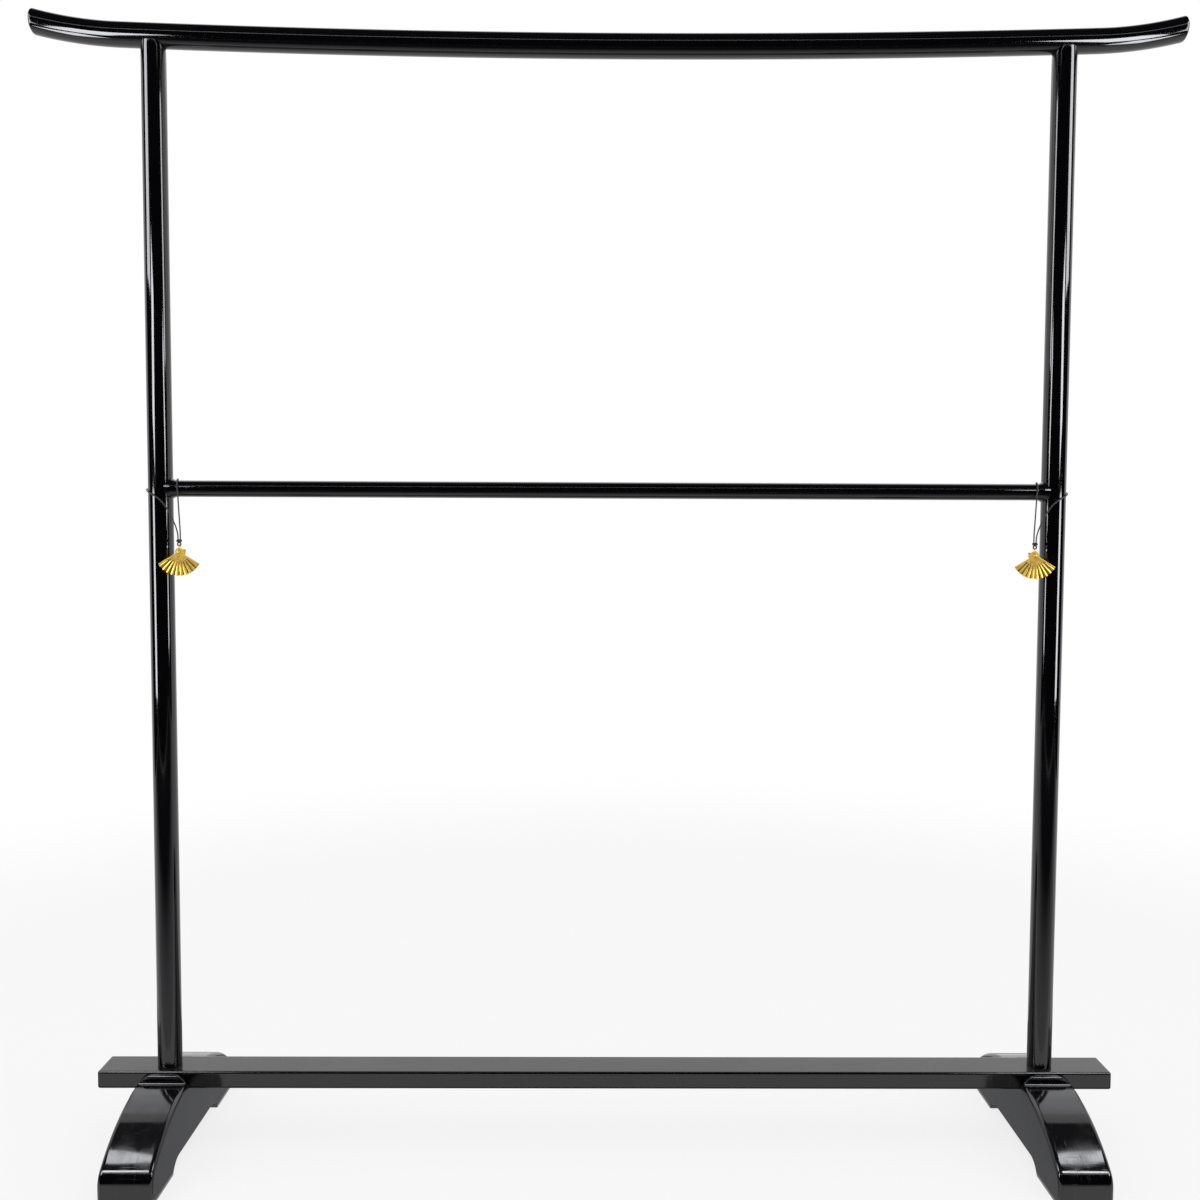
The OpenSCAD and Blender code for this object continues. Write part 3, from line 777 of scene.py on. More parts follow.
def dress(node: str, finish: Finish) -> None:
    """Gives one of the carried-over solids its finish.

    Args:
        node: the solid's name.
        finish: its finish.
    """
    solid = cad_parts[node]
    solid.data.materials.clear()
    solid.data.materials.append(finish.material())
    pieces_in(finish.family).objects.link(solid)
    log.info("%s: dressed in %s", node, finish.name)


# ---------------------------------------------------------------- camera and stage
def sheet(low: Triple, high: Triple) -> list[Triple]:
    """Corners of a flat card across the stand: along x, and from the low edge's y and z to the high edge's."""
    return [low, (high[0], *low[1:]), high, (low[0], *high[1:])]


@dataclass
class Studio:
    """Camera at the photograph's place, pale floor and background, soft boxes at both sides, and lamps.

    Attributes:
        eye: the camera's place, in metres.
        pitch: how far it looks down, in radians.
        yaw: how far it is turned to the right, in radians.
        roll: how far it leans, in radians.
        focal: focal length in pixels.
        frame_px: width of the frame in those pixels.
        side_x: distance of the side walls from the middle.
        front_y: place of the front wall.
        top_z: height of the ceiling.
        tint: colour of the light from all cards.
    """

    eye: Triple = (-0.0220, -1.7520, 0.9123)
    pitch: float = 0.0571
    yaw: float = 0.0062
    roll: float = 0.0041
    focal: float = 1199.0
    frame_px: float = 1200.0
    side_x: float = 3.4
    front_y: float = -2.9
    top_z: float = 4.2
    tint: Triple = (0.955, 0.965, 1.0)

    def camera(self) -> None:
        """Makes the camera."""
        ahead = Vector((math.sin(self.yaw) * math.cos(self.pitch), math.cos(self.yaw) * math.cos(self.pitch),
                        -math.sin(self.pitch)))
        level = Vector((math.cos(self.yaw), -math.sin(self.yaw), 0.0))
        raised = level.cross(ahead)
        right = math.cos(self.roll) * level + math.sin(self.roll) * raised
        up = -math.sin(self.roll) * level + math.cos(self.roll) * raised
        lens = bpy.data.cameras.new("camera")
        lens.sensor_width = 36.0
        lens.lens = lens.sensor_width * self.focal / self.frame_px
        lens.clip_start, lens.clip_end = 0.05, 60.0
        camera = linked("camera", lens)
        turn = Matrix((right, up, -ahead)).transposed().to_4x4()
        camera.matrix_world = Matrix.Translation(self.eye) @ turn
        bpy.context.scene.camera = camera

    def seen_share(self, tree: bpy.types.NodeTree) -> Socket:
        """1 for rays from the camera, from gloss and through glass, and 0 for the rest.

        Args:
            tree: the nodes to add it to.

        Returns:
            The number's socket.
        """
        path = tree.nodes.new("ShaderNodeLightPath")
        total = path.outputs["Is Camera Ray"]
        for word in ("Is Glossy Ray", "Is Transmission Ray"):
            both = tree.nodes.new("ShaderNodeMath")
            both.operation, both.use_clamp = "ADD", True
            tree.links.new(total, both.inputs[0])
            tree.links.new(path.outputs[word], both.inputs[1])
            total = both.outputs[0]
        return total

    def surroundings(self, ambient: float) -> None:
        """White surroundings, with a plain level of light for everything else.

        Args:
            ambient: strength of the light that falls on the stand from all round.
        """
        world = bpy.data.worlds.new("studio")
        bpy.context.scene.world = world
        world.use_nodes = True
        tree = world.node_tree
        level = tree.nodes.new("ShaderNodeMapRange")
        level.inputs["To Min"].default_value = ambient
        level.inputs["To Max"].default_value = 1.0
        tree.links.new(self.seen_share(tree), level.inputs["Value"])
        tree.nodes["Background"].inputs["Color"].default_value = (1, 1, 1, 1)
        tree.links.new(level.outputs["Result"], tree.nodes["Background"].inputs["Strength"])

    def floor(self, colour: float, keep: float, near: float, far: float) -> None:
        """Pale floor that keeps the stand's shadow, and turns into the white background further out.

        Args:
            colour: its grey value.
            keep: share of light and shadow that it shows near the stand.
            near: distance at which it starts to fade, in metres.
            far: distance at which it has faded.
        """
        count, around, reach = 24, 64, 2.2 * far
        rings = np.linspace(0, reach, count)[1:, None]
        turn = full_turn(around)
        flat = np.stack([rings * np.cos(turn), rings * np.sin(turn), 0 * rings * turn], -1)
        quads, steps = lattice(len(rings), around, False, True)
        j = np.arange(around)
        centre = np.stack([np.full(around, len(rings) * around), j, (j + 1) % around], -1)
        skin = Skin(np.concatenate([flat.reshape(-1, 3), [[0, 0, 0]]]), quads[:, ::-1], steps[..., ::-1],
                    centre, np.zeros((around, 3, 2)))
        ground = linked("floor", new_mesh("floor", [skin]))
        s = Shader("studio_floor")
        grain = s.ramp(s.noise(60.0, 3.0), 0.3, 0.7, colour * 0.985, colour)
        tone = s.add("ShaderNodeCombineColor", {"Red": grain, "Green": grain, "Blue": grain})
        away = s.add("ShaderNodeVectorMath", {0: s.place.outputs["Object"]}, operation="LENGTH").outputs["Value"]
        fade = s.times(s.ramp(away, near, far, 1 - keep, 1.0), self.seen_share(s.tree))
        s.finish({"Base Color": tone.outputs["Color"]}, Roughness=0.95, Specular_IOR_Level=0.0)
        glow = s.add("ShaderNodeEmission")
        both = s.add("ShaderNodeMixShader", {"Fac": fade, 1: s.main.outputs["BSDF"], 2: glow.outputs["Emission"]})
        s.tree.links.new(both.outputs["Shader"], s.tree.nodes["Material Output"].inputs["Surface"])
        ground.data.materials.append(s.material)

    def card(self, name: str, corners: list[Triple], level: float,
             front_level: float | None = None, shown_in: Family | None = None) -> None:
        """A card outside the view that only shows in gloss: an unlit wall, or the face of a soft box.

        Args:
            name: its name.
            corners: its four corners.
            level: its radiance.
            front_level: its radiance 1.5 m and more in front of the stand, where it isn't the same.
            shown_in: the family of finishes that it shows in, where others see it black; all if left out.
        """
        skin = Skin(np.array(corners, float), np.array([[0, 1, 2, 3]]), np.zeros((1, 4, 2)))
        made = linked(name, new_mesh(name, [skin]))
        made.visible_camera = made.visible_diffuse = made.visible_shadow = made.visible_transmission = False
        s = Shader(name)
        if front_level is None:
            strength = s.ramp(s.noise(2.0, 2.0), 0.3, 0.7, level * 0.9, level)
        else:
            depth = s.add("ShaderNodeSeparateXYZ", {"Vector": s.place.outputs["Object"]}).outputs["Y"]
            strength = s.ramp(depth, -1.5, -0.35, front_level, level)
        glow = s.add("ShaderNodeEmission", {"Strength": strength}, {"Color": (*self.tint, 1)})
        s.tree.links.new(glow.outputs["Emission"], s.tree.nodes["Material Output"].inputs["Surface"])
        made.data.materials.append(s.material)
        if shown_in is not None:
            made.light_linking.receiver_collection = pieces_in(shown_in)

    def panel(self, name: str, ends: tuple[Triple, Triple], width: float,
              level: float) -> None:
        """The face of a soft box, seen in the lacquer only: a strip from a low to a high point, turned to the stand.

        Args:
            name: its name.
            ends: the middles of its lower and upper edge, on the right-hand side of the stand.
            width: its width.
            level: its radiance.
        """
        low, high = np.array(ends)
        post = np.array([0.65, 0.0, 0.0])
        inward = post - (low + high) * np.array([0.5, 0.5, 0.0])
        across = np.cross(inward, high - low)
        across *= width / 2 / np.linalg.norm(across)
        for side in Side:
            flip = np.array([side.value, 1, 1])
            corners = [tuple(p * flip) for p in (low - across, low + across, high + across, high - across)]
            self.card(f"{side.label}_{name}", corners, level, shown_in=Family.LACQUER)

    def lamp(self, name: str, at: Triple, aim: Triple,
             size: tuple[float, float], level: float) -> None:
        """A soft lamp that lights without showing in gloss.

        Args:
            name: its name.
            at: its place.
            aim: the point that it faces.
            size: its width and height.
            level: its radiance.
        """
        light = bpy.data.lights.new(name, "AREA")
        light.shape, light.size, light.size_y = "RECTANGLE", size[0], size[1]
        light.energy = level * math.pi * size[0] * size[1]
        made = linked(name, light)
        made.location = at
        made.rotation_euler = (Vector(aim) - Vector(at)).to_track_quat("-Z", "Y").to_euler()
        made.visible_camera = made.visible_glossy = False

    def build(self) -> None:
        """Makes the whole studio."""
        self.camera()
        self.surroundings(0.60)
        self.floor(0.92, 0.20, 1.4, 2.8)
        x, y, top = self.side_x, self.front_y, self.top_z
        low, ground = 0.02, 0.004  # heights of the walls' lower edges, and of the cards on the floor
        self.card("front_wall", sheet((-x, y, low), (x, y, top)), 0.75, shown_in=Family.METAL)
        for side in Side:
            k = side.value * x
            wall = [(k, y, low), (k, 0.2, low), (k, 0.2, top), (k, y, top)]
            self.card(f"{side.label}_wall", wall, 3.4, shown_in=Family.METAL)
        self.card("ceiling", sheet((-x, y, top), (x, 1.2, top)), 0.02)
        self.card("rear_top", sheet((-2.6, 1.6, 3.6), (2.6, 3.6, 2.9)), 1.7)
        self.card("floor_front", sheet((-x, y, ground), (x, -0.35, ground)), 0.68, front_level=0.03)
        # floor_under is painted shade: the floor under and beside the stand, seen darker in the lacquer's reflection
        # only
        self.card("floor_under", sheet((-1.1, -0.17, ground), (1.1, 0.45, ground)), 0.34, shown_in=Family.LACQUER)
        self.card("front_strip", sheet((-3.0, y, 3.2), (3.0, y, 3.5)), 3.6, shown_in=Family.LACQUER)
        self.panel("high_box", ((1.28, -0.37, 1.40), (1.32, -0.51, 2.20)), 0.38, 10.5)
        self.panel("middle_box", ((1.25, -0.80, 1.10), (1.05, -0.92, 1.50)), 0.28, 17.0)
        self.panel("low_box", ((1.37, -0.62, 0.545), (1.36, -0.63, 1.00)), 0.28, 15.0)
        for side in Side:
            k = side.value
            self.lamp(f"{side.label}_side_lamp", (k * 1.9, -1.3, 1.7), (k * 0.2, 0.0, 0.8), (0.9, 1.8), 1.3)
        self.lamp("top_lamp", (0.0, -0.6, 3.2), (0.0, 0.0, 0.3), (2.4, 1.6), 1.1)
        log.info("studio: camera, floor, cards and lamps")


# ---------------------------------------------------------------- cords
CORD_ROUTE: Array = np.array([
    [33.6, -18.4, -73.0], [33.4, -18.0, -62.0], [32.0, -16.6, -44.0], [30.4, -14.8, -24.0],
    [29.2, -13.8, -8.0], [28.2, -13.6, 1.0], [27.4, -11.2, 8.0], [26.4, -5.8, 12.6],
    [25.0, 1.0, 14.0], [22.6, 8.0, 13.4], [18.0, 14.0, 12.0], [11.0, 17.4, 9.6],
    [2.0, 19.0, 7.0], [-8.0, 17.4, 4.4], [-15.2, 11.6, 2.0], [-18.8, 3.3, 0.0],
    [-18.0, -6.2, -2.4], [-13.0, -14.0, -5.4], [-5.0, -18.5, -9.6], [4.4, -19.0, -16.0],
    [13.0, -19.0, -26.0], [20.4, -19.0, -39.0], [26.6, -18.9, -53.0], [29.8, -18.8, -64.0],
    [30.4, -18.8, -73.0]]) * MM


@dataclass
class CordTie:
    """Cord tied round a post and over the middle rail, with the knot and the short bight that carries a clip.

    Attributes:
        side: the end of the stand that it is at.
        post_x: distance of the post's axis from the middle.
        rail_z: height of the middle rail's axis.
        thick: the cord's diameter.
        clip_u: distance of the knot inward from the post's axis.
        knot_y: the knot's distance from the posts' plane, negative in front.
        knot_drop: the knot's distance below the rail's axis.
        knot_d: the knot's diameter.
        bight_r: radius of the bight's centreline.
    """

    side: Side
    post_x: float = 0.650
    rail_z: float = 0.972
    thick: float = 0.002
    clip_u: float = 0.032
    knot_y: float = -0.0186
    knot_drop: float = 0.0755
    knot_d: float = 0.0068
    bight_r: float = 0.0024

    def world(self, points: Array) -> Array:
        """Points given as (inward from the post's axis, y, up from the rail's axis), in the stand's frame."""
        return points * np.array([-self.side.value, 1, 1]) + np.array([self.side.value * self.post_x, 0, self.rail_z])

    def loop(self) -> tuple[Array, Skin]:
        """The cord's centreline and its surface.

        The radius swells along the finish's strands, as ridges that wind round the cord at the finish's lay.

        Returns:
            The points of the centreline, and the surface.
        """
        sides, valley = 18, 0.84  # points round the cord, and its radius between the strands as a share
        path = self.world(smooth_route(CORD_ROUTE, 20))
        along = lengths_along(path)[:, None]
        turn = full_turn(sides)[None]
        ridge = np.abs(np.cos(CORD.strands / 2 * (turn + 2 * np.pi * along / CORD.lay)))
        return path, tube_skin(path, self.thick / 2 * (valley + (1 - valley) * ridge), sides)

    def knot(self) -> list[Skin]:
        """The knot: a cord wound on itself, with the bight below it.

        The winding runs on a ball as a torus knot of 3 by 5 turns, whose radius swings between two circles.

        Returns:
            Its surfaces.
        """
        centre = np.array([self.clip_u, self.knot_y, -self.knot_drop])
        big, small, core_r = 0.30 * self.knot_d, 0.18 * self.knot_d, 0.36 * self.knot_d
        tucked = 0.0009  # how far the bight's top lies inside the knot
        tall, strand_r, loop_r = 1.3, 0.42 * self.thick, 0.48 * self.thick  # the knot's height, and two cord radii
        t = full_turn(260)
        ring = big + small * np.cos(5 * t)
        wind = np.stack([ring * np.cos(3 * t), ring * np.sin(3 * t), small * tall * np.sin(5 * t)], -1)
        wound = tube_skin(self.world(centre + wind), strand_r, 10, wrap=True)
        turn = np.linspace(0, np.pi, 9)
        core = lathe(np.stack([core_r * np.sin(turn), core_r * np.cos(turn)], -1)[1:-1], 20)
        core = core.moved(tuple(self.world(centre)))
        drop = self.knot_drop + self.knot_d / 2 + self.bight_r - tucked
        a = full_turn(48)
        bight = np.stack([self.clip_u + self.bight_r * np.sin(a), self.knot_y + 0 * a,
                          self.bight_r * np.cos(a) - drop], -1)
        return [wound, core, tube_skin(self.world(bight), loop_r, 14, wrap=True)]

    def build(self) -> None:
        """Makes the cord and its knot."""
        label, soft = self.side.label, 80.0  # the angle up to which cord shows no sharp edge
        path, skin = self.loop()
        name, knot_name = f"{label}_cord", f"{label}_knot"
        cord = place_piece(name, new_mesh(name, [skin], soft), "frame", CORD, f"{label}_cord_loop")
        knot_mesh = new_mesh(knot_name, self.knot(), soft)
        knot = place_piece(knot_name, knot_mesh, "frame", KNOT_CORD, f"{label}_cord_knot")


# ---------------------------------------------------------------- rail, posts and base
@dataclass
class GarmentRail:
    """The lift-off rail: one long shallow arc, then a tighter upsweep to each tip.

    Attributes:
        length: from tip face to tip face.
        thick: its diameter.
        post_gap: distance between the posts' axes.
        axis_z: height of its axis over the posts.
        dip: how much lower its middle is.
        sweep_start: distance of the sweep's start outward from a post's axis.
        sweep_r: radius of the sweep.
        rim: radius of the rounded edge of the tips.
        step: how much thinner the sweep is, in radius.
        step_run: length over which it gets thinner.
        bore_d: diameter of the dowel holes.
        bore_top: height of their ends.
        bore_run: length of the cut that makes them, which starts well below the rail.
    """

    length: float = 1.642
    thick: float = 0.035
    post_gap: float = 1.300
    axis_z: float = 1.6135
    dip: float = 0.010
    sweep_start: float = 0.046
    sweep_r: float = 0.580
    rim: float = 0.004
    step: float = 0.00015
    step_run: float = 0.02
    bore_d: float = 0.01016
    bore_top: float = 1.6170
    bore_run: float = 0.03

    def heights(self, x: Array, swing: Array) -> Array:
        """Height of the rail's skin at x, for points at the angle swing from its underside.

        Each arc is a ring round an axis above the rail. A skin point is at the arc's radius plus r times the
        cosine of the swing from that axis, so its height is the axis height less the root of the difference of squares.

        Args:
            x: distances from the middle, not negative.
            swing: angles round the rail, 0 at its underside.

        Returns:
            The heights.
        """
        half = self.post_gap / 2
        long_r = (half ** 2 + self.dip ** 2) / (2 * self.dip)
        long_z = self.axis_z - self.dip + long_r
        turn = math.asin((half + self.sweep_start) / long_r)
        sweep_x = (long_r - self.sweep_r) * math.sin(turn)
        sweep_z = long_z - (long_r - self.sweep_r) * math.cos(turn)
        r = self.thick / 2
        reach = long_r + r * np.cos(swing)
        long_part = long_z - np.sqrt(reach ** 2 - x ** 2)
        past = x > reach * math.sin(turn)
        soft = self.step * np.clip((x - reach * math.sin(turn)) / self.step_run, 0, 1)
        tight = self.sweep_r + (r - soft) * np.cos(swing)
        sweep_part = sweep_z - np.sqrt(np.maximum(tight ** 2 - (x - sweep_x) ** 2, 0))
        return np.where(past, sweep_part, long_part)

    def skin(self) -> Skin:
        """The rail's surface, as upright sections from tip to tip with a rounded rim and a flat face at each end.

        Returns:
            The surface.
        """
        half, r = self.length / 2, self.thick / 2
        hole_from, hole_to = 0.64, 0.66  # the sections are closest together round a dowel hole
        swing = full_turn(112)[None]
        inner = np.concatenate([np.linspace(0, hole_from, 60)[:-1], np.linspace(hole_from, hole_to, 15)[:-1],
                                np.linspace(hole_to, half - self.rim, 80)])
        turn = np.radians(np.linspace(0, 90, 9)[1:])
        x = np.concatenate([inner, half - self.rim + self.rim * np.sin(turn)])[:, None]
        draw = np.concatenate([0 * inner, self.rim * (1 - np.cos(turn))])[:, None]
        top, bottom = self.heights(x, np.array([[np.pi]])), self.heights(x, np.array([[0.0]]))
        middle, tall = (top + bottom) / 2, (top - bottom) / 2
        z = middle + (self.heights(x, swing) - middle) * (tall - draw) / tall
        y = (r - draw) * np.sin(swing)
        right = np.stack([x + 0 * y, y, z], -1)
        face = [right[-1:] + (np.array([[[half, 0, middle[-1, 0]]]]) - right[-1:]) * s for s in (0.08, 0.5)]
        return ring_skin(both_halves(np.concatenate([right, *face])))

    def build(self) -> None:
        """Makes the rail with its two dowel holes."""
        hole = lathe(np.array([[self.bore_d / 2, -self.bore_run], [self.bore_d / 2, 0.0]]), 48)
        cutters = [hole.moved((s.value * self.post_gap / 2, 0, self.bore_top)) for s in Side]
        mesh = bored(new_mesh("garment_rail", [self.skin()]), cutters)
        place_piece("garment_rail", mesh, "garment_rail", RAIL_LACQUER, "top_rail")


@dataclass
class Posts:
    """The two round posts, their tops hollowed to carry the rail, with a spigot below.

    Attributes:
        gap: distance between their axes.
        thick: their diameter.
        foot_z: height of the board's top, on which they stand.
        top_z: height of the horns of their tops.
        seat_r: radius of the hollow.
        rail_z: height of the rail's axis over them.
        slope: slope of the rail there.
        spigot_d: diameter of the spigot.
        spigot_len: its length.
        edge: radius of the edge round the hollow.
    """

    gap: float = 1.300
    thick: float = 0.035
    foot_z: float = 0.1165
    top_z: float = 1.6035
    seat_r: float = 0.0178
    rail_z: float = 1.6135
    slope: float = 0.0308
    spigot_d: float = 0.022
    spigot_len: float = 0.012
    edge: float = 0.0006

    def tops(self, x: Array, y: Array) -> Array:
        """Height of a post's top: the hollow under the rail, as far up as the horns.

        Args:
            x: distance outward from the post's axis.
            y: distance to the back.

        Returns:
            The heights.
        """
        seat = self.rail_z + self.slope * x - np.sqrt(np.maximum(self.seat_r ** 2 - y ** 2, 0))
        return np.minimum(self.top_z, seat)

    def skin(self, side: Side) -> Skin:
        """A post's surface: rings up the post whose last ones bend to the hollow, then in over it.

        Args:
            side: the end of the stand that the post is at.

        Returns:
            The surface.
        """
        sides, edge, r, spigot_r = 144, self.edge, self.thick / 2, self.spigot_d / 2
        bevel = 0.001  # at the spigot's end; the post's own lower edge is rounded by 0.8 mm
        turn = full_turn(sides)
        cx, cy = np.cos(turn), np.sin(turn)
        low = [(spigot_r - bevel, -self.spigot_len), (spigot_r, -self.spigot_len + bevel), (spigot_r, 0.0),
               (r - 0.0008, 0.0), (r - 0.0003, 0.0002), (r, 0.0008)]
        rings = [np.stack([q * cx, q * cy, np.full(sides, self.foot_z + z)], -1) for q, z in low]
        rim = self.tops(r * cx, r * cy) - edge
        straight = np.concatenate([np.linspace(0.004, 0.9, 24), np.linspace(0.92, 1.0, 20)])
        rings += [np.stack([r * cx, r * cy, self.foot_z + (rim - self.foot_z) * s], -1) for s in straight]
        bend = np.radians(np.linspace(0, 90, 6)[1:])
        for a in bend:
            q = r - edge + edge * math.cos(a)
            rings.append(np.stack([q * cx, q * cy, self.tops(q * cx, q * cy) - edge + edge * math.sin(a)], -1))
        centre_r = 0.0003  # radius of the last ring, which closes on the middle point
        for q in np.linspace(r - edge, centre_r, 40)[1:]:
            rings.append(np.stack([q * cx, q * cy, self.tops(q * cx, q * cy)], -1))
        return ring_skin(np.stack(rings)).moved((side.value * self.gap / 2, 0, 0), mirror=side is Side.LEFT).outward()

    def build(self) -> None:
        """Makes both posts."""
        horn_angle = 50.0  # the horns' tips show as sharp past this
        for side in Side:
            name = f"{side.label}_post_round"
            mesh = new_mesh(name, [self.skin(side)], horn_angle)
            place_piece(name, mesh, "frame", POST_LACQUER, f"{side.label}_post")


@dataclass
class MiddleRail:
    """The thin rail between the posts, flared at its ends and shaped to the posts.

    Attributes:
        half: distance of a post's axis from the middle.
        post_r: radius of the posts.
        height: height of its axis.
        r: its radius.
        flare: how much the radius grows at the ends.
        flare_len: length of each flare.
        sunk: how far its ends reach into the posts.
    """

    half: float = 0.650
    post_r: float = 0.0175
    height: float = 0.972
    r: float = 0.012
    flare: float = 0.003
    flare_len: float = 0.008
    sunk: float = 0.0003

    def build(self) -> None:
        """Makes the rail: circles along x whose radius follows a circular arc in the flares, up to the posts."""
        root = self.half - self.post_r
        flare_r = (self.flare_len ** 2 + self.flare ** 2) / (2 * self.flare)
        plain = root - self.flare_len
        x = np.concatenate([np.linspace(0, plain, 40)[:-1], np.linspace(plain, root, 12)])
        grow = flare_r - np.sqrt(flare_r ** 2 - np.maximum(x - root + self.flare_len, 0) ** 2)
        swing = full_turn(80)
        radius = (self.r + grow)[:, None]
        rings = np.stack([x[:, None] + 0 * swing, radius * np.sin(swing), self.height + radius * np.cos(swing)], -1)
        last = []
        for share in (1.0, 0.97, 0.7, 0.35, 0.05):
            y = share * radius[-1] * np.sin(swing)
            reach = self.half + self.sunk - np.sqrt(self.post_r ** 2 - y ** 2)
            last.append(np.stack([reach, y, self.height + share * radius[-1] * np.cos(swing)], -1))
        whole = both_halves(np.concatenate([rings, np.stack(last)]))
        mesh = new_mesh("middle_rail_round", [ring_skin(whole)])
        place_piece("middle_rail_round", mesh, "frame", RAIL_LACQUER, "middle_rail")


@dataclass
class BaseBoard:
    """The long board that lies in the feet and joins them.

    Attributes:
        length: size along x.
        depth: size along y.
        height: its thickness.
        lift: height of its underside.
        edge: radius of its edges.
    """

    length: float = 1.496
    depth: float = 0.054
    height: float = 0.026
    lift: float = 0.0905
    edge: float = 0.0032

    def build(self) -> None:
        """Makes the board."""
        skin = box_skin(self.length, self.depth, self.height, self.edge).moved((0, 0, self.lift + self.height / 2))
        place_piece("long_board", new_mesh("long_board", [skin]), "frame", BOARD_LACQUER, "base_board")


def rounding(centre: tuple[float, float], radius: float, start: float, end: float, count: int,
             hollow: bool = False) -> tuple[Array, Array]:
    """Part of an outline that follows a circle, with its outward normals: away from the centre, or towards it.

    Args:
        centre: the circle's centre.
        radius: its radius.
        start: first tilt, as in an arc.
        end: last tilt.
        count: number of points.
        hollow: whether the outline bends inwards there.

    Returns:
        The points and the normals.
    """
    points = arc(centre, radius, start, end, count)
    return points, (-1 if hollow else 1) * (points - np.array(centre)) / radius


@dataclass
class Foot:
    """An arched foot, with two shoulders that hold the board, a hollow underneath and a counterbore for the bolt.

    A long back arc runs down to a rounded toe at front and rear. The pads are made a little too long, and then cut
    off level with the floor, so that the softened edges stay even down to the sole.

    Attributes:
        side: the end of the stand that it is at.
        post_x: distance of its middle from the stand's middle.
        length: size from toe to toe.
        width: size along x.
        toe_r: radius of the toe.
        toe_z: height of the toe circle's centre.
        toe_turn: slope at which the toe meets the back arc, in degrees.
        back_r: radius of the back arc.
        board: half of the notch's width, and its floor's height.
        shoulder: outer face and top of the shoulders.
        corner_r: radius of the upper corners seen from the front.
        cove_r: radius of the hollow below the shoulders.
        notch_r: radius of the inner corners of the notch.
        lip_r: radius of the edges of notch and sole.
        top_r: radius of the shoulders' outer edges.
        relief: half length, height and end radius of the hollow underneath.
        edge: radius of the softened side edges: at shoulders, sole and hollow, and along the back arc and toe.
        grow: distance from the middle at which those edges start to grow, and the length over which they do.
        strip: narrow strip of a side face along its edge, which keeps the rest of it flat in its shading.
        bore: radius and depth of the counterbore.
        spare: length of the pads that is cut off level with the floor.
    """

    side: Side
    post_x: float = 0.650
    length: float = 0.366
    width: float = 0.075
    toe_r: float = 0.030
    toe_z: float = 0.025
    toe_turn: float = 40.0
    back_r: float = 0.230
    board: tuple[float, float] = (0.0271, 0.0905)
    shoulder: tuple[float, float] = (0.0351, 0.1135)
    corner_r: float = 0.022
    cove_r: float = 0.0035
    notch_r: float = 0.0005
    lip_r: float = 0.0014
    top_r: float = 0.003
    relief: Triple = (0.074, 0.0165, 0.028)
    edge: tuple[float, float] = (0.0012, 0.0064)
    grow: tuple[float, float] = (0.045, 0.030)
    strip: float = 0.00015
    bore: tuple[float, float] = (0.010, 0.040)
    spare: float = 0.010

    def outline(self) -> tuple[Array, Array]:
        """The foot seen from the side, as a closed line from the notch forward and round, made of circular arcs.

        Returns:
            The line's points as (forward, up), and its outward normals.
        """
        toe_y, turn = self.length / 2 - self.toe_r, math.radians(self.toe_turn)
        back_y = toe_y + (self.toe_r - self.back_r) * math.sin(turn)
        back_z = self.toe_z + (self.toe_r - self.back_r) * math.cos(turn)
        (notch_y, notch_z), (top_y, top_z) = self.board, self.shoulder
        cove_y = top_y + self.cove_r
        meet = math.degrees(math.asin((cove_y - back_y) / self.back_r))
        cove_z = back_z + math.sqrt(self.back_r ** 2 - (cove_y - back_y) ** 2) + self.cove_r
        run, high, end_r = self.relief
        end_z = high - end_r
        last = math.degrees(math.acos((-self.spare - end_z) / end_r))
        notch, lip, top, tip = self.notch_r, self.lip_r, self.top_r, self.length / 2
        drop = np.linspace(self.toe_z, lip - self.spare, 26)[1:-1]
        face = np.stack([np.full(len(drop), tip), drop], -1)
        parts = [rounding((notch_y - notch, notch_z + notch), notch, 180, 90, 4, hollow=True),
                 rounding((notch_y + lip, top_z - lip), lip, -90, 0, 6),
                 rounding((top_y - top, top_z - top), top, 0, 90, 10),
                 rounding((cove_y, cove_z), self.cove_r, -90, -180 + meet * 0.4, 14, hollow=True),
                 rounding((back_y, back_z), self.back_r, meet + 0.6, self.toe_turn, 70),
                 rounding((toe_y, self.toe_z), self.toe_r, self.toe_turn, 90, 30),
                 (face, np.tile([1.0, 0.0], (len(drop), 1))),
                 rounding((tip - lip, lip - self.spare), lip, 90, 180, 6),
                 rounding((run, end_z), end_r, last, 0, 18, hollow=True)]
        line = np.concatenate([p for p, _ in parts])
        normal = np.concatenate([n for _, n in parts])
        back = line[::-1] * np.array([-1, 1])
        return np.concatenate([line, back]), np.concatenate([normal, normal[::-1] * np.array([-1, 1])])

    def softening(self, line: Array, normal: Array) -> Array:
        """Radius of the side edges at each point of the outline: it grows by smooth steps away from the middle.

        Args:
            line: the outline's points.
            normal: its outward normals.

        Returns:
            One radius each: small at shoulders, sole and hollow, growing to the large one along the back arc and toe.
        """
        sole_from, sole_run = 0.002, 0.005  # it grows over this height too, above the end of the spare pads
        least_up = -0.02  # sole and hollow, whose normals point down more than this, keep the small radius
        past_cove = np.clip((np.abs(line[:, 0]) - self.grow[0]) / self.grow[1], 0, 1)
        above_sole = np.clip((line[:, 1] + self.spare - sole_from) / sole_run, 0, 1) * (normal[:, 1] > least_up)
        share = past_cove ** 2 * (3 - 2 * past_cove) * above_sole ** 2 * (3 - 2 * above_sole)
        return (self.edge[0] + (self.edge[1] - self.edge[0]) * share)[:, None]

    def half_width(self, z: Array) -> Array:
        """Half of the foot's width at a height: full, and drawn in on a circle at the upper corners."""
        rise = np.clip(z - (self.shoulder[1] - self.corner_r), 0, self.corner_r)
        return self.width / 2 - self.corner_r + np.sqrt(self.corner_r ** 2 - rise ** 2)

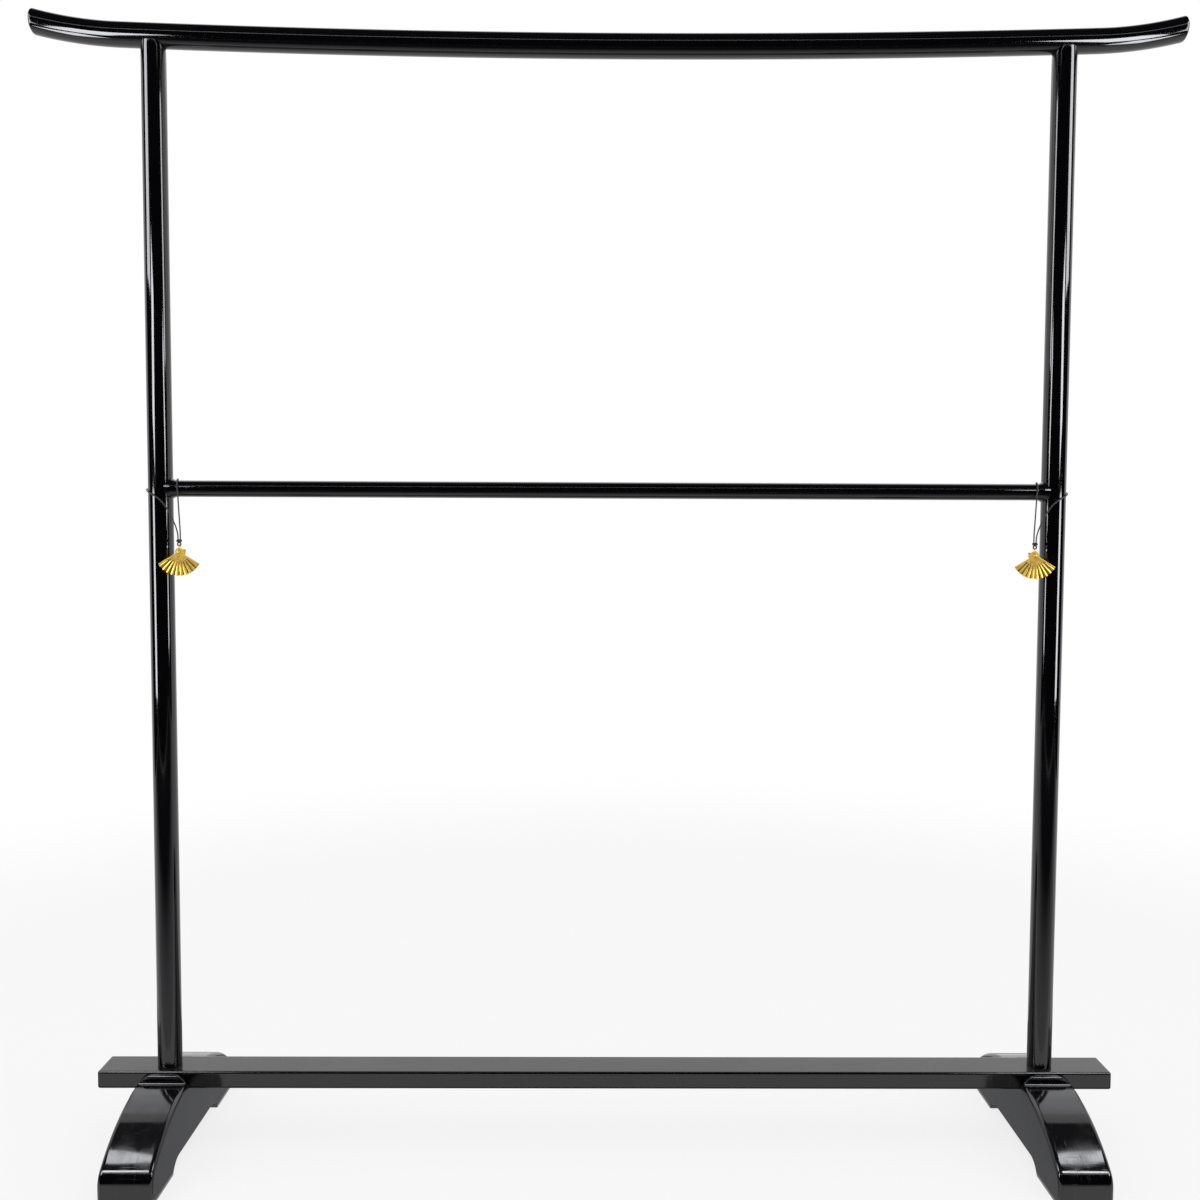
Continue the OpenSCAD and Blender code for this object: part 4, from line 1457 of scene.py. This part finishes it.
    def rim_skin(self) -> Skin:
        """The band round the foot from one side face to the other, its edges rounded off.

        Returns:
            The band's surface.
        """
        beside = 1.15  # where the row of points beside a rounded edge lies, as a share of its radius
        line, normal = self.outline()
        edge = self.softening(line, normal)
        turn = np.radians(np.linspace(0, 90, 9))
        rows = [(line - normal * edge * (1 - math.cos(a)), edge * (1 - math.sin(a))) for a in turn]
        rows = [(line, edge * beside), *rows, (line - normal * (edge + self.strip), 0 * edge)]
        half = np.stack([np.stack([self.half_width(p[:, 1]) - d[:, 0], -p[:, 0], p[:, 1]], -1) for p, d in rows])
        mid = half[:1] * np.array([1 / 3, 1, 1])
        right = np.concatenate([mid, half])
        rings = np.concatenate([right[::-1] * MIRROR_X, right])
        quads, steps = lattice(len(rings), rings.shape[1], False, True)
        return Skin(rings.reshape(-1, 3), quads, steps)

    def face_skin(self) -> Skin:
        """A side face: points inside the outline on a fine grid, joined by triangles, bent in at the upper corners.

        Returns:
            The face on the side of positive x.
        """
        line, normal = self.outline()
        inset = line - normal * (self.softening(line, normal) + self.strip)
        across, up = np.arange(-0.063, 0.0631, 0.0018), np.arange(0.0915, 0.1125, 0.0014)  # the bent upper part
        y, z = np.meshgrid(across, up)
        grid = np.stack([y.ravel(), z.ravel()], -1)
        n = len(inset)
        ring = [(i, (i + 1) % n) for i in range(n)]
        points, _, faces, _, _, _ = delaunay_2d_cdt([Vector(p) for p in np.concatenate([inset, grid])], ring,
                                                    [list(range(n))], 1, 1e-7)
        flat = np.array([tuple(p) for p in points])
        tris = np.array(faces)
        made = np.stack([self.half_width(flat[:, 1]), -flat[:, 0], flat[:, 1]], -1)
        return Skin(made, np.zeros((0, 4), int), np.zeros((0, 4, 2)), tris, np.zeros((len(tris), 3, 2)))

    def build(self) -> None:
        """Makes the foot, cuts its counterbore, and cuts it off level with the floor."""
        rim, face = self.rim_skin(), self.face_skin()
        other = replace(face, points=face.points * MIRROR_X, tris=face.tris[:, ::-1])
        first, second = len(rim.points), len(rim.points) + len(face.points)
        whole = Skin(np.concatenate([rim.points, face.points, other.points]), rim.quads, rim.quad_uv,
                     np.concatenate([face.tris + first, other.tris + second]), np.concatenate([face.tri_uv] * 2))
        whole = self.checked(whole, rim, face)
        name = f"{self.side.label}_arched_foot"
        mesh = new_mesh(name, [whole.moved((self.side.value * self.post_x, 0, 0))])
        self.weld(mesh)
        (r, deep), under = self.bore, 4 * self.spare
        hole = lathe(np.array([[r, -0.03], [r, deep]]), 48)
        below = box_skin(2 * self.width, 1.2 * self.length, under, 0.001).moved((0, 0, -under / 2))
        cutters = [skin.moved((self.side.value * self.post_x, 0, 0)) for skin in (hole, below)]
        place_piece(name, bored(mesh, cutters), "frame", FOOT_LACQUER, f"{self.side.label}_foot")

    def checked(self, whole: Skin, rim: Skin, face: Skin) -> Skin:
        """The foot with the band and both faces turned outwards, each by its own measure.

        Args:
            whole: the foot's surface.
            rim: its band.
            face: its side face towards positive x.

        Returns:
            The surface, facing outwards.
        """
        corner = rim.points[rim.quads]
        middle = corner.mean(axis=1) - rim.points.mean(axis=0)
        normal = np.cross(corner[:, 2] - corner[:, 0], corner[:, 3] - corner[:, 1])
        turn_band = float(np.einsum("ij,ij->", middle, normal)) < 0
        quads, quad_uv = (rim.quads[:, ::-1], rim.quad_uv[:, ::-1]) if turn_band else (rim.quads, rim.quad_uv)
        tri = face.points[face.tris]
        right_out = float(np.cross(tri[:, 1] - tri[:, 0], tri[:, 2] - tri[:, 0])[:, 0].sum()) > 0
        tris = whole.tris if right_out else whole.tris[:, ::-1]
        return replace(whole, quads=quads, quad_uv=quad_uv, tris=tris)

    def weld(self, mesh: bpy.types.Mesh) -> None:
        """Joins the points that the band and the faces share.

        Args:
            mesh: the foot's mesh, which is changed.
        """
        gap = 0.002 * MM
        work = bmesh.new()
        work.from_mesh(mesh)
        bmesh.ops.remove_doubles(work, verts=work.verts, dist=gap)
        work.to_mesh(mesh)
        work.free()
        mesh.set_sharp_from_angle(angle=math.radians(SHARP_ANGLE))


@dataclass
class Fasteners:
    """Dowels, bolts, washers and inserts, which keep their solids' shapes.

    Attributes:
        metals: the finish of each kind.
    """

    metals: dict[str, PlainMetal] = field(default_factory=lambda: {
        "rail_dowel": ZINC, "base_bolt": ZINC, "base_washer": ZINC, "post_insert": BRASS})

    def build(self) -> None:
        """Gives every fastener its metal."""
        for side in Side:
            for part, metal in self.metals.items():
                dress(f"{side.label}_{part}", metal)


# ---------------------------------------------------------------- fan clips
@dataclass
class FanClip:
    """A clip with an open fan on its front, hung by a ring: all sizes from its swing axis, z up and y to the back.

    Attributes:
        side: the end of the stand that it is at.
        at: place of the swing axis for the right-hand clip.
        ring_r: radius of the ring's centreline.
        ring_wire: thickness of the ring.
        apex: depth of the fan's apex below the axis.
        fan_r: radius of the fan.
        hub_r: radius of its plain middle.
        angle: opening of the fan, in degrees.
        pleats: number of its pleats.
        fold: height of a ridge or valley from the sheet's middle.
        sheet: thickness of the sheet.
        sheet_y: the sheet's middle.
        hub_t: thickness of the plain middle.
        guard_w: width of the two guard ribs.
        proud: how far guard ribs and rivet stand out from the plain middle.
        back: the back face of the fan.
        coil_r: radius of the spring's coil.
        coils: number of its turns.
        pitch: distance between turns.
        wire: thickness of its wire.
        pin: y and z of the pin.
        sharp: angle in degrees past which an edge of stamped sheet shows as sharp.
    """

    side: Side
    at: Triple = (0.618, -0.0186, 0.89092)
    ring_r: float = 0.0035
    ring_wire: float = 0.0012
    apex: float = 0.011
    fan_r: float = 0.034
    hub_r: float = 0.015
    angle: float = 118.0
    pleats: int = 10
    fold: float = 0.00078
    sheet: float = 0.0008
    sheet_y: float = -0.00208
    hub_t: float = 0.00218
    guard_w: float = 0.0022
    proud: float = 0.0003
    back: float = -0.0005
    coil_r: float = 0.0019
    coils: int = 4
    pitch: float = 0.00125
    wire: float = 0.0008
    pin: tuple[float, float] = (0.0039, -0.020)
    sharp: float = 32.0

    @property
    def coil_half(self) -> float:
        """Half of the coil's length along the pin."""
        return self.pitch * (self.coils + 0.5) / 2

    def put(self, skins: list[Skin]) -> list[Skin]:
        """Surfaces moved from the clip's own frame to its place.

        Args:
            skins: the surfaces, as on the right-hand clip.

        Returns:
            The moved surfaces, facing outwards.
        """
        x, y, z = self.at
        return [s.moved((self.side.value * x, y, z), mirror=self.side is Side.LEFT).outward() for s in skins]

    def pleated(self) -> tuple[Skin, Array]:
        """The pleated sheet, closed all round, and how deep in a fold each of its points lies.

        In polar coordinates round the apex, the front goes up and down as a rounded triangle wave of the angle.
        Its height grows from the plain middle to the edge, and the edge bulges out over each ridge.

        Returns:
            The surface, and one depth for each point, from 0 on a ridge to 1 in a valley.
        """
        steps, root, bulge, lip_out = 20 * self.pleats, self.hub_r - 0.0015, 0.001, 0.00012
        rounded, root_fold = 0.45, 0.15  # shares of the sine in the wave, and of the folds' height left at the root
        share = np.linspace(0, 1, steps + 1)[:, None]
        a = np.radians(self.angle) * (share - 0.5)
        saw = np.where(share >= 1, 1.0, np.abs((share * self.pleats % 1.0) * 2 - 1))
        wave = 1 - 2 * saw
        depth = 0.5 - 0.5 * wave
        wave = np.sin(wave * np.pi / 2) * rounded + wave * (1 - rounded)
        t = np.linspace(0, 1, 15)[None]
        edge = self.fan_r - bulge + bulge * (1 - saw ** 2)
        r = root + (edge - root) * t
        y = self.sheet_y - self.fold * (root_fold + (1 - root_fold) * t) * wave
        front = np.stack([r * np.sin(a), y - self.sheet / 2, -r * np.cos(a) - self.apex], -1)
        behind = np.stack([r * np.sin(a), y + self.sheet / 2, -r * np.cos(a) - self.apex], -1)
        lip = (front[:, -1:] + behind[:, -1:]) / 2 + np.stack([np.sin(a), 0 * a, -np.cos(a)], -1) * lip_out
        rings = np.concatenate([front, lip, behind[:, ::-1]], axis=1)
        deep = np.repeat(depth ** 1.5, rings.shape[1], axis=1)
        return ring_skin(rings), deep.ravel()

    def hub(self) -> Skin:
        """The plain middle: a sector with a raised rim at its outer edge and a dished face.

        Its front height follows the distance from the apex: two round beads on a dished face, whose outer part
        ripples a little in step with the pleats.

        Returns:
            The surface.
        """
        opening = math.radians(self.angle - 2) / 2
        beads = ((0.93, 0.05, 0.00030), (0.62, 0.035, 0.00012))  # place and width as shares of the radius, and height
        ripple, bead_top, rim_from, rim_drop = 0.00008, 0.00030, 0.985, 0.0003
        a = np.linspace(-opening, opening, 73)[:, None]
        t = np.linspace(0.02, 1, 30)[None]
        r = self.hub_r * t
        bead = sum(np.exp(-((t - place) / wide) ** 2) * high for place, wide, high in beads)
        waves = ripple * np.cos(a * self.pleats * math.pi / math.radians(self.angle)) * np.clip(t * 2 - 0.9, 0, 1)
        y = self.back - self.hub_t + bead_top - bead - waves
        y = np.where(t > rim_from, y + rim_drop, y)
        front = np.stack([r * np.sin(a), y + 0 * a, -r * np.cos(a) - self.apex], -1)
        behind = np.stack([r * np.sin(a), self.back + 0 * (a + t), -r * np.cos(a) - self.apex], -1)
        return ring_skin(np.concatenate([front, behind[:, ::-1]], axis=1))

    def guards(self) -> list[Skin]:
        """The two guard ribs: flat bars with rounded edges from the apex to the fan's edge.

        Returns:
            Their surfaces.
        """
        thick, start = self.hub_t + self.proud, 0.001  # they start this far from the apex
        bar = box_skin(self.fan_r - start, thick, self.guard_w, 0.0005)
        found = []
        for sign in (-1, 1):
            a = sign * math.radians(self.angle / 2)
            along, out, across = bar.points.T
            reach = along + (self.fan_r + start) / 2
            x = reach * math.sin(a) + across * math.cos(a)
            z = -reach * math.cos(a) + across * math.sin(a) - self.apex
            y = self.back - thick / 2 + out
            found.append(replace(bar, points=np.stack([x, y, z], -1)))
        return found

    def turned(self, profile: Array, sides: int) -> Skin:
        """A turned piece at the apex, whose axis runs to the front from the back of the fan.

        Args:
            profile: its points as (radius, distance to the front).
            sides: number of points round it.

        Returns:
            Its surface.
        """
        disc = lathe(profile, sides)
        x, z, forward = disc.points.T
        return replace(disc, points=np.stack([x, self.back - forward, z - self.apex], -1))

    def boss(self) -> Skin:
        """The round boss at the apex, with a softened edge.

        Returns:
            Its surface.
        """
        t = self.hub_t
        profile = [[0.0026, 0.0], [0.0030, 0.0003], [0.0030, t - 0.0006], [0.0028, t - 0.0002], [0.0024, t]]
        return self.turned(np.array(profile), 40)

    def rivet(self) -> Skin:
        """The domed rivet head at the apex, its shank, and the small head behind.

        Returns:
            Its surface.
        """
        front, rear, top = self.hub_t + self.proud, 0.0010, 0.0008  # the dome's foot, the back, the dome's height
        dome = arc((0, front - 0.0018), 0.0026, 58, 3, 8)
        dome[:, 1] = np.minimum(dome[:, 1], front + top)
        shank = [[0.0010, -rear - 0.0006], [0.0015, -rear - 0.0004], [0.0015, -rear], [0.0010, -rear],
                 [0.0010, front], [0.0021, front]]
        return self.turned(np.concatenate([shank, dome]), 32)

    def ring(self) -> Skin:
        """The split ring: a circle of wire that hangs from the swing axis, in the plane across the stand.

        Returns:
            Its surface.
        """
        a = full_turn(64)
        path = np.stack([0 * a, self.ring_r * np.sin(a), self.ring_r * np.cos(a) - self.ring_r], -1)
        return tube_skin(path, self.ring_wire / 2, 16, wrap=True)

    def spring(self) -> Skin:
        """The torsion spring: a coil round the pin, with a straight leg to each jaw.

        Returns:
            Its surface.
        """
        (py, pz), half = self.pin, self.coil_half
        a = np.pi + np.linspace(0, 2 * np.pi * self.coils + np.pi, 40 * self.coils + 20)
        x = np.linspace(-half, half, len(a))
        coil = np.stack([x, py + self.coil_r * np.cos(a), pz + self.coil_r * np.sin(a)], -1)
        jaw_back, clear = 0.0005, 0.0001  # y of the front jaw's back face, and the gap between it and the leg
        front_y, back_y = jaw_back + self.wire / 2 + clear, py + self.coil_r
        first = np.array([[-half, front_y, -self.apex - 0.001], [-half, front_y + 0.0002, 0.0035 + pz]])
        last = np.array([[half, back_y + 0.0003, 0.003 + pz], [half, back_y + 0.0019, 0.008 + pz]])
        legs = [smooth_route(first, 6)[:-1], smooth_route(last, 6)[1:]]
        return tube_skin(np.concatenate([legs[0], first[-1:], coil, last[:1], legs[1]]), self.wire / 2, 12)

    def build(self) -> None:
        """Makes the clip's pieces."""
        label = self.side.label
        body, jaw_body = f"{label}_clip", f"{label}_clip_jaw"
        # The depths in a fold drive the painted shade and tarnishing of the gold; the plain middle gets one fixed depth
        hub_fold_depth = 0.42  # the plain middle is dulled like the sheet this deep in a fold
        pleats, deep = self.pleated()
        hub = self.hub()
        deep = np.concatenate([deep, np.full(len(hub.points), hub_fold_depth)])
        (x, y, z), half = self.at, self.coil_half
        ends = [(self.side.value * (x + reach), y + self.pin[0], z + self.pin[1]) for reach in (-half, half)]
        for name, skins, valley, finish, node, bend in (
                ("open_fan", [pleats, hub, self.boss(), *self.guards()], deep, GOLD_PLATE, "fan", None),
                ("fan_stud", [self.rivet()], None, GOLD_PLATE, "fan_rivet", None),
                ("hanging_ring", [self.ring()], None, GOLD_PLATE, "clip_ring", None),
                ("coil_spring", [self.spring()], None, ZINC, "jaw_spring", (jaw_body, *ends))):
            piece = f"{label}_{name}"
            mesh = new_mesh(piece, self.put(skins), self.sharp, valley)
            place_piece(piece, mesh, body, finish, f"{label}_{node}", bend=bend)
        dress(f"{label}_front_jaw", GOLD_PLATE)
        dress(f"{label}_back_jaw", GOLD_PLATE)
        dress(f"{label}_pivot_pin", ZINC)


def main() -> None:
    """Builds the studio and every piece of the stand."""
    logging.basicConfig(level=logging.INFO, format="%(message)s")
    bpy.context.scene.view_settings.view_transform = "Standard"
    Studio().build()
    for side in Side:
        CordTie(side).build()
    GarmentRail().build()
    Posts().build()
    MiddleRail().build()
    BaseBoard().build()
    for side in Side:
        Foot(side).build()
    Fasteners().build()
    for side in Side:
        FanClip(side).build()


if __name__ == "__main__":
    main()
